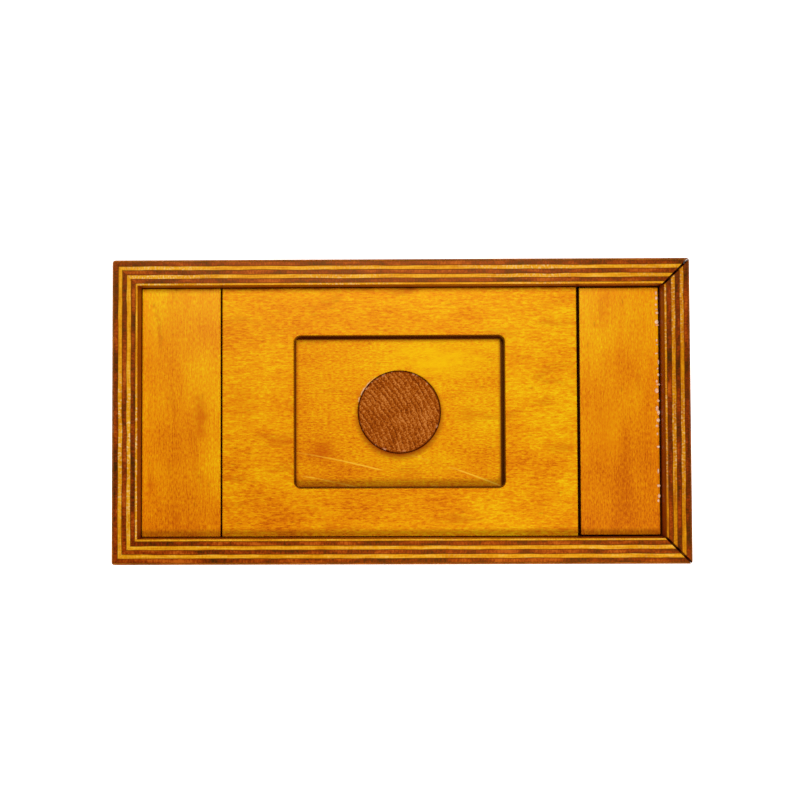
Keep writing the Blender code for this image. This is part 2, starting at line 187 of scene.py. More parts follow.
print("helpers for patterns:", cloud.__name__, layer.__name__, weighed.__name__)


# %% [markdown]
# ## Under the varnish
#
# Every piece of wood ends the same way. Its colour goes to the shader, and one fine pattern varies
# the gloss and presses a slight relief. What is the same all over a piece, such as the share of
# varnish on it, is set on the shader's own socket, so that an export keeps it.

# %% Finish a shader
WOOD_IOR = 1.5
COAT_ROUGHNESS = 0.2


def finish_shader(tree, shader, base, pattern, rough, relief, tint, coat=0.0):
    """Link the base colour, let a pattern vary the roughness and the relief, and set the varnish.

    rough is the lowest and highest roughness, relief the bump's strength and its height in mm.
    """
    tree.links.new(base, shader.inputs["Base Color"])
    gloss = add(tree, "ShaderNodeMapRange", {"Value": pattern, "To Min": rough[0],
                                             "To Max": rough[1]})
    tree.links.new(gloss, shader.inputs["Roughness"])
    bump = add(tree, "ShaderNodeBump", {"Height": pattern, "Strength": relief[0],
                                        "Distance": relief[1] * MM})
    tree.links.new(bump, shader.inputs["Normal"])
    shader.inputs["IOR"].default_value = WOOD_IOR
    shader.inputs["Specular Tint"].default_value = colour(tint)
    shader.inputs["Coat Weight"].default_value = coat
    shader.inputs["Coat Roughness"].default_value = COAT_ROUGHNESS


def new_material(name):
    """An empty Principled material: the material, its tree and its shader."""
    material = bpy.data.materials.new(name)
    material.use_nodes = True
    return material, material.node_tree, material.node_tree.nodes["Principled BSDF"]


print("varnished wood: IOR", WOOD_IOR, "and coat roughness", COAT_ROUGHNESS)


# %% [markdown]
# ## Amber boards
#
# The cover boards and the deck are a pale, close-grained hardwood such as basswood or birch,
# planed, wiped with an amber stain and varnished to a satin sheen. Stain takes unevenly, so the
# colour drifts from yellow to orange over a few centimetres, with fine lines along the grain, some
# red-brown streaks and small dark flecks. The varnish fills the pores, so there is hardly any
# bump. The drift, the streaks and the flecks are separate patterns, each with its own size in
# millimetres.

# %% Stained colour of a board
AMBER = ((0.0, "#BC5402"), (0.3, "#E07E02"), (0.55, "#EB9A03"), (0.8, "#F0B604"),
         (1.0, "#F6CE0C"))
AMBER_TINT = "#FFA030"


def stained_wood(tree, spot, place, yellowing_and_light, tone, streaks, nap):
    """Amber stain on pale wood: its drift, its red-brown streaks and its flecks, and the fibres.

    lean is how much yellower the board gets along and across the grain, per metre, mostly towards
    the back: partly the stain's drift and partly painted light. nap is how strongly its fibres
    show.
    """
    figure = cloud(tree, spot, (40, 5, 5), 3, distortion=0.6)
    patches = cloud(tree, spot, (22, 13, 13), 2)
    fibres = cloud(tree, spot, (1.3, 0.4, 0.4), 4, 0.75)
    lines = cloud(tree, spot, (14, 0.5, 0.5), 3, 0.6)
    # Partly painted light: each board grows yellower along this slope, mostly towards the back;
    # the rest is the stain's drift.
    slope = add(tree, "ShaderNodeVectorMath", {0: place, 1: (yellowing_and_light[0] * MM, 0, yellowing_and_light[1] * MM)},
                operation="DOT_PRODUCT", out="Value")
    base = add(tree, "ShaderNodeMath", {0: slope, 1: tone}, operation="ADD")
    drift = weighed(tree, base, (patches, 0.8), (figure, 0.35), (fibres, nap), (lines, 0.5))
    amber = add(tree, "ShaderNodeValToRGB", {"Fac": drift}, stops=AMBER)
    red = cloud(tree, spot, (13, 3.5, 3.5), 2, distortion=0.3)
    amber = layer(tree, amber, "#B84202", red, 0.6, 0.8, streaks)
    dots = add(tree, "ShaderNodeVectorMath", {0: spot, 1: (1 / 9, 1 / 3.2, 1 / 3.2)},
               operation="MULTIPLY")
    fleck = add(tree, "ShaderNodeTexVoronoi", {"Vector": dots, "Scale": 1.0}, out="Distance")
    return layer(tree, amber, "#8A3602", fleck, 0.12, 0.05, 0.3), fibres


def blushes(tree, below, place, marks):
    """Soft patches that one board happens to have: (centre, half size, colour, strength) in mm."""
    for (x, y), (wide, high), tone, strength in marks:
        away = add(tree, "ShaderNodeVectorMath", {0: place, 1: (x, y, 0)}, operation="SUBTRACT")
        away = add(tree, "ShaderNodeVectorMath", {0: away, 1: (1 / wide, 1 / high, 0)},
                   operation="MULTIPLY")
        reach = add(tree, "ShaderNodeVectorMath", {0: away}, operation="LENGTH", out="Value")
        ragged = weighed(tree, reach, (cloud(tree, place, (5, 2, 5), 3), 1.6))
        below = layer(tree, below, tone, ragged, 1.0, 0.1, strength)
    return below


print("amber stops:", len(AMBER))


# %% [markdown]
# Where the parts meet, the wood is darker: along the back wall, on every sawn edge, and on the
# deck below the seams and round the window and the bore. Part of this is stain that has run and
# dried dark, and part is painted shade of the corners and gaps. Those places follow the parts, so
# their masks are distances in the box, from a middle value or from an upright axis, and the places
# of the parts are measured from the parts themselves.

# %% Distances
def off_centre(tree, value, middle):
    """How far a number is from a middle value, either way."""
    off = add(tree, "ShaderNodeMath", {0: value, 1: middle}, operation="SUBTRACT")
    return add(tree, "ShaderNodeMath", {0: off}, operation="ABSOLUTE")


def from_axis(tree, place, axis):
    """The level arrow from an upright axis to each place, and its length."""
    away = add(tree, "ShaderNodeVectorMath", {0: place, 1: axis}, operation="SUBTRACT")
    level = add(tree, "ShaderNodeVectorMath", {0: away, 1: (1, 1, 0)}, operation="MULTIPLY")
    return level, add(tree, "ShaderNodeVectorMath", {0: level}, operation="LENGTH", out="Value")


BACK_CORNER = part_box("back_wall")[0].y / MM
WINDOW_HALF = Vector((33.0, 23.9, 0)) * MM
SEAMS = [(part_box("left_top_board")[1].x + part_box("centre_top_board")[0].x) / 2 / MM,
         (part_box("centre_top_board")[1].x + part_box("right_top_board")[0].x) / 2 / MM]
LOCK_LOW, LOCK_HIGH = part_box("lock_dowel")
LOCK_AXIS = (LOCK_LOW + LOCK_HIGH) / 2
DOWEL_RADIUS = (LOCK_HIGH.x - LOCK_LOW.x) / 2
print("seams at x =", [round(seam, 2) for seam in SEAMS], "mm")
print("dowel radius", round(DOWEL_RADIUS / MM, 2), "mm")


# %% [markdown]
# Three marks darken the wood where the parts meet. Along the back wall lie pooled stain and
# painted shade of the corner. Below the joints and round the window's edge, the deck has run stain
# and painted shade of the gaps, a little towards the front and the left. And the deck is darker in
# a ring round the bore, most at the front.

# %% Stain and painted shade at the joints, and the ring round the bore
STAIN_AND_SHADE_SHIFT = 0.3
POOL_AND_SHADE = 1.0
BORE_RING = 1.6


def back_wall_stain_and_shade(tree, below, place):
    """Stain pooled along the back wall, with painted shade of the corner there."""
    across = add(tree, "ShaderNodeSeparateXYZ", {0: place}, out="Y")
    ragged = weighed(tree, across, (cloud(tree, place, (6, 6, 6)), 1.2))
    # Painted shade and pooled stain: the boards darken towards the back wall.
    return layer(tree, below, "#6E2002", ragged, BACK_CORNER - POOL_AND_SHADE, BACK_CORNER - 0.1, 0.85)


def joint_stain_and_shade(tree, below, place):
    """Painted shade on the deck below the seams and round the window's edge, with stain that ran
    down there.
    """
    axes = add(tree, "ShaderNodeSeparateXYZ", {0: place}, out=None).outputs
    sides = []
    for axis, middle, half in (("X", LOCK_AXIS.x / MM - STAIN_AND_SHADE_SHIFT, WINDOW_HALF.x / MM),
                               ("Y", -STAIN_AND_SHADE_SHIFT, WINDOW_HALF.y / MM)):
        off = off_centre(tree, axes[axis], middle)
        sides.append(add(tree, "ShaderNodeMath", {0: off, 1: half}, operation="SUBTRACT"))
    edge = add(tree, "ShaderNodeMath", {0: sides[0], 1: sides[1]}, operation="MAXIMUM")
    near = add(tree, "ShaderNodeMath", {0: edge}, operation="ABSOLUTE")
    for seam in SEAMS:
        off = off_centre(tree, axes["X"], seam)
        near = add(tree, "ShaderNodeMath", {0: near, 1: off}, operation="MINIMUM")
    # Painted shade with run stain: a red-brown band, then a near-black line nearest the seams and
    # the window's edge.
    below = layer(tree, below, "#A03400", near, 1.4, 0.6, 0.5)
    return layer(tree, below, "#420600", near, 0.8, 0.35)


def bore_ring_and_chips(tree, below, place):
    """The bore's rim: a darker ring, widest at the front, and chipped at the back left."""
    level, radius = from_axis(tree, place, LOCK_AXIS / MM)
    back = add(tree, "ShaderNodeVectorMath", {0: level, 1: (0, 0.07, 0)},
               operation="DOT_PRODUCT", out="Value")
    reach = add(tree, "ShaderNodeMath", {0: radius, 1: back}, operation="ADD")
    bore = DOWEL_RADIUS / MM
    # A darker ring round the bore, reaching furthest at the front.
    below = layer(tree, below, "#862E00", reach, bore + BORE_RING, bore - 0.5, 0.95)
    side = add(tree, "ShaderNodeVectorMath", {0: level, 1: (-0.84, 0.54, 0)},
               operation="DOT_PRODUCT", out="Value")
    chips = cloud(tree, place, (0.9, 0.9, 0.9), 2)
    near = add(tree, "ShaderNodeMapRange", {"Value": radius, "From Min": bore + 1.2,
                                            "From Max": bore + 0.5})
    there = add(tree, "ShaderNodeMapRange", {"Value": side, "From Min": bore * 0.8,
                                             "From Max": bore})
    open_grain = add(tree, "ShaderNodeMath", {0: near, 1: there}, operation="MULTIPLY")
    torn = add(tree, "ShaderNodeMath", {0: open_grain, 1: chips}, operation="MULTIPLY")
    return layer(tree, below, "#F2BE90", torn, 0.42, 0.54, 0.8)


print("stain pools from y =", round(BACK_CORNER - POOL_AND_SHADE, 1), "mm, bore worn", BORE_RING, "mm wide")


# %% [markdown]
# The front part of the deck also has pale arcs, where the blade cut across it at a shallow angle.
# They are thin rings about a far centre, and a cloud lets them show only in stretches.

# %% Pale arcs
ARC_CENTRE = (-80, -300, 0)
ARC_SPACING = 7.1
ARCS_FROM, ARCS_FULL = -12.0, -16.0


def pale_arcs(tree, below, place, strength):
    """Thin pale arcs about a far centre, towards the front of the deck."""
    radius = from_axis(tree, place, ARC_CENTRE)[1]
    ring = add(tree, "ShaderNodeMath", {0: radius, 1: ARC_SPACING / 2}, operation="PINGPONG")
    here = cloud(tree, place, (30, 5, 8))
    low = add(tree, "ShaderNodeSeparateXYZ", {0: place}, out="Y")
    low = add(tree, "ShaderNodeMapRange", {"Value": low, "From Min": ARCS_FROM,
                                           "From Max": ARCS_FULL, "To Max": strength})
    shown = add(tree, "ShaderNodeMapRange", {"Value": here, "From Min": 0.43, "From Max": 0.5})
    shown = add(tree, "ShaderNodeMath", {0: shown, 1: low}, operation="MULTIPLY")
    thin = add(tree, "ShaderNodeMapRange", {"Value": ring, "From Min": 0.3, "From Max": 0.1})
    lines = add(tree, "ShaderNodeMath", {0: thin, 1: shown}, operation="MULTIPLY")
    return layer(tree, below, "#FFCC38", lines, 0.0, 1.0)


print("arcs", ARC_SPACING, "mm apart, in front of y =", ARCS_FROM, "mm")


# %% [markdown]
# The board's material puts these together. Only the deck gets the joints, the bore and the arcs. A
# board's sides were sawn. They are told by their depth between the two planed faces and go dark,
# partly because the stain soaks in there and partly as painted shade, since they face the gaps
# between the boards and the window.

# %% Amber board material
BOARD_THICKNESS = 6.0


def amber_board(name, offset, yellowing_and_light, tone, streaks, nap, sheen, marks, is_deck):
    """Stained and varnished close-grained hardwood, planed."""
    material, tree, shader = new_material(name)
    own = board_millimetres(tree)
    spot = board_millimetres(tree, offset)
    place = box_millimetres(tree)
    tinted, fibres = stained_wood(tree, spot, own, yellowing_and_light, tone, streaks, nap)
    tinted = blushes(tree, tinted, place, marks)
    if is_deck:
        tinted = pale_arcs(tree, tinted, place, 0.8)
        tinted = joint_stain_and_shade(tree, tinted, place)
        tinted = bore_ring_and_chips(tree, tinted, place)
    tinted = back_wall_stain_and_shade(tree, tinted, place)
    # The sawn sides: dark with soaked stain, and darker still as painted shade of the gaps and the
    # window's walls.
    deep = off_centre(tree, add(tree, "ShaderNodeSeparateXYZ", {0: own}, out="Y"), 0.0)
    half = BOARD_THICKNESS / 2
    tinted = layer(tree, tinted, "#5A1000", deep, half - 0.12, half - 0.3)
    finish_shader(tree, shader, tinted, fibres, (0.28, 0.42), (0.3, 0.03), AMBER_TINT, sheen)
    return material


print("a board's planed faces lie", BOARD_THICKNESS / 2, "mm from its middle")


# %% [markdown]
# ## Plywood that shows its veneers
#
# The walls are seven-ply birch, a thin face veneer on each side and five plies of 1.32 mm between.
# Every other ply is turned a quarter, so along a sanded edge one ply shows long grain, which stays
# pale under stain, and the next shows end grain, which drinks the stain and goes dark. The depth
# into the board tells the plies apart, so the same material is right on the rim, on the mitres and
# on the faces, where only the face veneer shows: long faint bands, because it was peeled from a
# turning log, and short dark pores.

# %% Plies by depth
PLY_SHIFT = 37.0
BANDS = 7.0


def count_plies(tree, depth, face, core):
    """From the depth in mm: the ply's number and the distance from its middle, 0 to 0.5."""
    inside = add(tree, "ShaderNodeMath", {0: depth, 1: face}, operation="SUBTRACT")
    ply = add(tree, "ShaderNodeMath", {0: inside, 1: core}, operation="DIVIDE")
    number = add(tree, "ShaderNodeMath", {0: ply}, operation="FLOOR")
    within = add(tree, "ShaderNodeMath", {0: ply}, operation="FRACT")
    return number, off_centre(tree, within, 0.5)


def edge_of_plies(tree, spot, number, off_middle, tones, soak, glint_strength):
    """The colours of a sanded edge: pale long grain, dark end grain and the glue between."""
    # Each ply has its own stretch of wood: its number moves the pattern.
    shift = add(tree, "ShaderNodeMath", {0: number, 1: PLY_SHIFT}, operation="MULTIPLY")
    apart = add(tree, "ShaderNodeCombineXYZ", {"X": shift})
    own = add(tree, "ShaderNodeVectorMath", {0: spot, 1: apart}, operation="ADD")
    streaks = cloud(tree, own, (6, 0.5, 0.5), 4, 0.6)
    pores = cloud(tree, own, (0.5, 1.1, 9), 3, 0.7)
    spells = cloud(tree, own, (9, 3, 40), 2)
    shade = weighed(tree, 0.5 - soak, (streaks, 0.9), (pores, 0.7), (spells, 0.5))
    pale = add(tree, "ShaderNodeValToRGB", {"Fac": shade}, stops=tones["long"])
    soaked = weighed(tree, 0.5 - soak / 3, (pores, 1.3), (spells, 1.6))
    dark = add(tree, "ShaderNodeValToRGB", {"Fac": soaked}, stops=tones["end"])

    # Painted highlight: whitish glints, drawn as beads on the pale plies, here and there in
    # patches.
    beads = add(tree, "ShaderNodeMapRange", {"Value": cloud(tree, own, (0.55, 0.9, 9), 1),
                                             "From Min": 0.52, "From Max": 0.66})
    torn = add(tree, "ShaderNodeMapRange", {"Value": cloud(tree, spot, (38, 30, 60), 1),
                                            "From Min": 0.44, "From Max": 0.6})
    glint_mask = add(tree, "ShaderNodeMath", {0: beads, 1: torn}, operation="MULTIPLY")
    pale = layer(tree, pale, tones["bead"], glint_mask, 0.0, 1.0, glint_strength)
    is_long = add(tree, "ShaderNodeMath", {0: number, 1: 2.0}, operation="FLOORED_MODULO")
    plies = layer(tree, dark, pale, is_long, 0.0, 1.0)
    return layer(tree, plies, tones["line"], off_middle, 0.36, 0.46, tones["glue"]), dark, pores


def veneer_figure(tree, spot):
    """Rotary-cut figure: long wandering bands, lines along the grain and short pores, 0 to 1."""
    sweep = cloud(tree, spot, (48, 60, 7), 2, distortion=0.8)
    bands = add(tree, "ShaderNodeMath", {0: sweep, 1: BANDS}, operation="MULTIPLY")
    bands = add(tree, "ShaderNodeMath", {0: bands, 1: 1.0}, operation="PINGPONG")
    lines = cloud(tree, spot, (16, 3, 0.7), 4, 0.65)
    pores = cloud(tree, spot, (2.2, 1, 0.24), 3, 0.7)
    return weighed(tree, 0.5, (bands, 0.2), (lines, 1.1), (pores, 0.9))


FACE_PLY = 0.7 * MM
CORE_PLY = 1.32 * MM
print("plies of", [round(ply / MM, 2) for ply in (FACE_PLY, *5 * [CORE_PLY], FACE_PLY)], "mm")


# %% [markdown]
# One material serves the stained walls and the bare panels inside: a dictionary of tones says what
# colours the finish gives. Where sanding has rounded the outer corner through the face veneer, it
# is given the dark tone of the end grain. The walls are stained and then varnished thinly, which
# leaves the end grain dull.

# %% Plywood material
STAINED = {
    "long": ((0.1, "#B05E00"), (0.4, "#DC9208"), (0.6, "#F0AE20"), (0.9, "#F8CE62")),
    "end": ((0.1, "#260200"), (0.4, "#6C1800"), (0.6, "#942E00"), (0.9, "#BE5A10")),
    "outside": ((0.2, "#964806"), (0.5, "#B8660A"), (0.8, "#CE8416")),
    # Inner faces: darker than the outer ones, partly for more stain and partly as painted shade of
    # the box's inside.
    "inside": ((0.2, "#7E2E02"), (0.5, "#9C4404"), (0.8, "#B25A08")),
    # bead is the colour of the painted glints on the pale plies.
    "line": "#6A2C04", "bead": "#FFE0A0", "glue": 0.8, "corner": 0.9,
    "rough": 0.38, "coat": 0.02, "tint": "#FFA838",
}
PLAIN = {
    "long": ((0.1, "#C9A878"), (0.5, "#DCC096"), (0.9, "#E8D2AC")),
    "end": ((0.1, "#A5794C"), (0.5, "#B98D5C"), (0.9, "#C9A270")),
    "outside": ((0.2, "#CBAA7A"), (0.5, "#DDC193"), (0.8, "#E9D3AB")),
    "inside": ((0.2, "#CBAA7A"), (0.5, "#DDC193"), (0.8, "#E9D3AB")),
    "line": "#8A6238", "bead": "#F2E4CC", "glue": 0.5, "corner": 0.0,
    "rough": 0.62, "coat": 0.0, "tint": "#FFFFFF",
}
SKIN = 0.03


def plywood(name, face, core, thickness, offset, tones, soak=0.0, glint_strength=0.0):
    """Birch plywood.

    face, core and thickness are in mm. soak is how much more stain it took, and beading how
    strongly painted glints of light show on its pale plies.
    """
    material, tree, shader = new_material(name)
    depth = add(tree, "ShaderNodeSeparateXYZ", {0: board_millimetres(tree)}, out="Y")
    spot = board_millimetres(tree, offset)
    number, off_middle = count_plies(tree, depth, face, core)
    edge, dark, pores = edge_of_plies(tree, spot, number, off_middle, tones, soak, glint_strength)
    # The rounded outer corner is given the dark tone of the end grain.
    edge = layer(tree, edge, dark, depth, face, face * 0.6, tones["corner"])
    figure = veneer_figure(tree, spot)
    outside = add(tree, "ShaderNodeValToRGB", {"Fac": figure}, stops=tones["outside"])
    inside = add(tree, "ShaderNodeValToRGB", {"Fac": figure}, stops=tones["inside"])
    faced = layer(tree, edge, outside, depth, SKIN, SKIN / 3)
    faced = layer(tree, faced, inside, depth, thickness - SKIN, thickness - SKIN / 3)
    rough = (tones["rough"] - 0.08, tones["rough"] + 0.1)
    finish_shader(tree, shader, faced, pores, rough, (0.35, 0.06), tones["tint"], tones["coat"])
    return material


print("tones of the stained and of the bare finish:", len(STAINED), len(PLAIN))


# %% [markdown]
# ## The laminated board, as Geometry Nodes
#
# A plywood wall is one profile drawn along a line: the profile carries the steps between the
# plies, and only the length, the mitres and the waviness of the veneers differ from wall to wall.
# That is what Geometry Nodes are good at. The profile comes in as a small mesh of edges and is
# swept along a straight path, which leaves the faces pointing inwards, so they are flipped. The
# sweep remembers, for each point, which point of the profile it was and how far along the path it
# is, because the next steps put every point in its place from those numbers.

# %% Sweep the profile
LAMINATE_NUMBERS = ("Length", "Height", "Base", "Thickness", "Mitre", "Start gap", "End gap",
                    "Closing", "Edge round", "Wave", "Relief", "Seed")


def new_group(name, numbers, whole_number):
    """A geometry node group with named inputs: the tree and its input sockets."""
    tree = bpy.data.node_groups.new(name, "GeometryNodeTree")
    for label, kind in (("Geometry", "NodeSocketGeometry"),
                        *((label, "NodeSocketFloat") for label in numbers),
                        (whole_number, "NodeSocketInt"), ("Material", "NodeSocketMaterial")):
        tree.interface.new_socket(label, in_out="INPUT", socket_type=kind)
    tree.interface.new_socket("Geometry", in_out="OUTPUT", socket_type="NodeSocketGeometry")
    return tree, add(tree, "NodeGroupInput", out=None).outputs


def sweep_profile(tree, given):
    """Sweep the profile along a unit line: the mesh, and each point's profile and station."""
    here = add(tree, "GeometryNodeInputPosition")
    drawn = add(tree, "GeometryNodeStoreNamedAttribute",
                {"Geometry": given["Geometry"], "Name": "profile", "Value": here},
                data_type="FLOAT_VECTOR", domain="POINT")
    outline = add(tree, "GeometryNodeMeshToCurve", {"Mesh": drawn})
    path = add(tree, "GeometryNodeCurvePrimitiveLine", {"Start": (0, 0, 0), "End": (1, 0, 0)})
    path = add(tree, "GeometryNodeResampleCurve", {"Curve": path, "Count": given["Stations"]})
    factor = add(tree, "GeometryNodeSplineParameter", out="Factor")
    path = add(tree, "GeometryNodeStoreNamedAttribute",
               {"Geometry": path, "Name": "station", "Value": factor},
               data_type="FLOAT", domain="POINT")
    swept = add(tree, "GeometryNodeCurveToMesh", {"Curve": path, "Profile Curve": outline,
                                                  "Fill Caps": True})
    outwards = add(tree, "GeometryNodeFlipFaces", {"Mesh": swept})
    profile = add(tree, "GeometryNodeInputNamedAttribute", {"Name": "profile"}, out="Attribute",
                  data_type="FLOAT_VECTOR")
    station = add(tree, "GeometryNodeInputNamedAttribute", {"Name": "station"}, out="Attribute",
                  data_type="FLOAT")
    return outwards, profile, station


print("sizes a laminated board takes:", len(LAMINATE_NUMBERS))


# %% [markdown]
# Stations crowd towards both ends of the board, where a mitre needs a round corner. Inside the
# board the veneers wander sideways a little, most in the middle and not at all on the two faces,
# and along the sanded edge a fine relief lets the end grain sink.

# %% Let the veneers wander
CROWDING = 0.75
WANDER = (9.0 * MM, 2.4 * MM, 17.0 * MM)
GRIT = (1.1 * MM, 0.8 * MM, 5.0 * MM)
TOP_LAYER = 0.3 * MM


def crowd_ends(tree, station):
    """The share of the length, 0 to 1, with more stations near the ends."""
    turn = add(tree, "ShaderNodeMath", {0: station, 1: math.pi}, operation="MULTIPLY")
    swing = add(tree, "ShaderNodeMath", {0: turn}, operation="COSINE")
    eased = add(tree, "ShaderNodeMath", {0: swing, 1: -0.5, 2: 0.5}, operation="MULTIPLY_ADD")
    return add(tree, "ShaderNodeMix", {"Factor": CROWDING, "A": station, "B": eased},
               data_type="FLOAT")


def unevenness(tree, spot, lumps, seed, detail):
    """A seeded irregular pattern in space, whose lumps have a size in metres."""
    scaled = add(tree, "ShaderNodeVectorMath", {0: spot, 1: [1 / side for side in lumps]},
                 operation="MULTIPLY")
    return add(tree, "ShaderNodeTexNoise", {"Vector": scaled, "W": seed, "Scale": 1.0,
                                            "Detail": detail}, noise_dimensions="4D")


def wander(tree, given, spot, depth):
    """The depth of each point after the veneers have wandered."""
    uneven = unevenness(tree, spot, WANDER, given["Seed"], 4.0)
    swerve = add(tree, "ShaderNodeMath", {0: uneven, 1: 0.5}, operation="SUBTRACT")
    swerve = add(tree, "ShaderNodeMath", {0: swerve, 1: given["Wave"]}, operation="MULTIPLY")
    deep = add(tree, "ShaderNodeMath", {0: depth, 1: given["Thickness"]}, operation="DIVIDE")
    shallow = add(tree, "ShaderNodeMath", {0: 1.0, 1: deep}, operation="SUBTRACT")
    mask = add(tree, "ShaderNodeMath", {0: deep, 1: shallow}, operation="MULTIPLY")
    mask = add(tree, "ShaderNodeMath", {0: mask, 1: 4.0}, operation="MULTIPLY", use_clamp=True)
    return add(tree, "ShaderNodeMath", {0: swerve, 1: mask, 2: depth}, operation="MULTIPLY_ADD")


def sink_edge(tree, given, spot, height):
    """The height of each point after the top edge has worn unevenly."""
    grit = unevenness(tree, spot, GRIT, given["Seed"], 2.0)
    sunk = add(tree, "ShaderNodeMath", {0: grit, 1: given["Relief"]}, operation="MULTIPLY")
    under = add(tree, "ShaderNodeMath", {0: given["Height"], 1: TOP_LAYER}, operation="SUBTRACT")
    on_top = add(tree, "ShaderNodeMath", {0: height, 1: under}, operation="GREATER_THAN")
    drop = add(tree, "ShaderNodeMath", {0: sunk, 1: on_top}, operation="MULTIPLY")
    return add(tree, "ShaderNodeMath", {0: height, 1: drop}, operation="SUBTRACT")


print("veneers wander in lumps of", [round(side / MM, 1) for side in WANDER], "mm")


# %% [markdown]
# The ends are drawn back: by the depth on a mitre, and by a gap. An open mitre shows its gap at
# the worn top edge only, and closes below. Last, the whole is pulled inside a box with round
# edges, which is what sanding does: a point further from the box's core than the radius moves in
# to it.

# %% Cut the mitres and sand
WORN_DEPTH = 0.75 * MM


def cut_ends(tree, given, share, depth, height):
    """Where each point lies along the board, between its two cut ends."""
    half = add(tree, "ShaderNodeMath", {0: given["Length"], 1: 0.5}, operation="MULTIPLY")
    back = add(tree, "ShaderNodeMath", {0: depth, 1: given["Mitre"]}, operation="MULTIPLY")
    below = add(tree, "ShaderNodeMath", {0: given["Height"], 1: height}, operation="SUBTRACT")
    closed = add(tree, "ShaderNodeMapRange", {"Value": below, "From Max": WORN_DEPTH,
                                              "To Max": given["Closing"]})
    opened = add(tree, "ShaderNodeMath", {0: 1.0, 1: closed}, operation="SUBTRACT")
    ends = []
    for gap in ("Start gap", "End gap"):
        drawn = add(tree, "ShaderNodeMath", {0: given[gap], 1: opened, 2: back},
                    operation="MULTIPLY_ADD")
        ends.append(add(tree, "ShaderNodeMath", {0: half, 1: drawn}, operation="SUBTRACT"))
    first = add(tree, "ShaderNodeMath", {0: ends[0], 1: -1.0}, operation="MULTIPLY")
    return add(tree, "ShaderNodeMix", {"Factor": share, "A": first, "B": ends[1]},
               data_type="FLOAT"), half


def sand_edges(tree, given, half, along, depth, height):
    """Pull each point inside a box with round edges."""
    radius = given["Edge round"]
    high_x = add(tree, "ShaderNodeMath", {0: half, 1: radius}, operation="SUBTRACT")
    low_x = add(tree, "ShaderNodeMath", {0: high_x, 1: -1.0}, operation="MULTIPLY")
    low_z = add(tree, "ShaderNodeMath", {0: given["Base"], 1: radius}, operation="ADD")
    high_z = add(tree, "ShaderNodeMath", {0: given["Height"], 1: radius}, operation="SUBTRACT")
    core_x = add(tree, "ShaderNodeClamp", {"Value": along, "Min": low_x, "Max": high_x})
    core_y = add(tree, "ShaderNodeMath", {0: depth, 1: radius}, operation="MAXIMUM")
    core_z = add(tree, "ShaderNodeClamp", {"Value": height, "Min": low_z, "Max": high_z})
    core = add(tree, "ShaderNodeCombineXYZ", {"X": core_x, "Y": core_y, "Z": core_z})
    raw = add(tree, "ShaderNodeCombineXYZ", {"X": along, "Y": depth, "Z": height})
    out = add(tree, "ShaderNodeVectorMath", {0: raw, 1: core}, operation="SUBTRACT")
    far = add(tree, "ShaderNodeVectorMath", {0: out}, operation="LENGTH", out="Value")
    ratio = add(tree, "ShaderNodeMath", {0: radius, 1: far}, operation="DIVIDE")
    ratio = add(tree, "ShaderNodeMath", {0: ratio, 1: 1.0}, operation="MINIMUM")
    pulled = add(tree, "ShaderNodeVectorMath", {0: out, "Scale": ratio}, operation="SCALE")
    return add(tree, "ShaderNodeVectorMath", {0: core, 1: pulled}, operation="ADD")


print("an open mitre closes", round(WORN_DEPTH / MM, 2), "mm below the rim")


# %% [markdown]
# The tree puts the steps together. It stores the "board" attribute that the materials read, takes
# its own notes off again, and ends in Realize Instances and Set Material.

# %% The laminate tree
def laminate_tree():
    """The node group that sweeps a veneered profile into a wall."""
    tree, given = new_group("laminated_board", LAMINATE_NUMBERS, "Stations")
    swept, profile, station = sweep_profile(tree, given)
    axes = add(tree, "ShaderNodeSeparateXYZ", {0: profile}, out=None).outputs
    depth, height = axes["X"], axes["Y"]
    share = crowd_ends(tree, station)
    middle = add(tree, "ShaderNodeMath", {0: share, 1: 0.5}, operation="SUBTRACT")
    rough_x = add(tree, "ShaderNodeMath", {0: given["Length"], 1: middle}, operation="MULTIPLY")
    spot = add(tree, "ShaderNodeCombineXYZ", {"X": rough_x, "Y": depth, "Z": height})
    moved = wander(tree, given, spot, depth)
    level = sink_edge(tree, given, spot, height)
    along, half = cut_ends(tree, given, share, moved, height)
    final = sand_edges(tree, given, half, along, moved, level)
    placed = add(tree, "GeometryNodeSetPosition", {"Geometry": swept, "Position": final})
    board = add(tree, "ShaderNodeCombineXYZ", {"X": along, "Y": depth, "Z": height})
    cleaned = add(tree, "GeometryNodeStoreNamedAttribute",
                  {"Geometry": placed, "Name": "board", "Value": board},
                  data_type="FLOAT_VECTOR", domain="POINT")
    for name in ("profile", "station"):
        cleaned = add(tree, "GeometryNodeRemoveAttribute", {"Geometry": cleaned, "Name": name})
    whole = add(tree, "GeometryNodeRealizeInstances", {"Geometry": cleaned})
    done = add(tree, "GeometryNodeSetMaterial", {"Geometry": whole, "Material": given["Material"]})
    add(tree, "NodeGroupOutput", {"Geometry": done}, out=None)
    return tree


LAMINATE = laminate_tree()
print("laminate tree:", len(LAMINATE.nodes), "nodes")


# %% [markdown]
# ## Running a tree and keeping its mesh
#
# A modifier's inputs are set by the socket's identifier, not by its name, and they are set before
# the object is first evaluated. The evaluated result is then copied to a plain mesh, and the
# modifier is taken off, so that what is left is an ordinary piece.

# %% Apply a tree
def run_tree(piece, tree, values):
    """Give a piece the tree's result as its own mesh."""
    worker = piece.modifiers.new(tree.name, "NODES")
    worker.node_group = tree
    names = {socket.name: socket.identifier for socket in tree.interface.items_tree
             if socket.in_out == "INPUT"}
    for name, value in values.items():
        worker[names[name]] = value
    keep_result(piece)


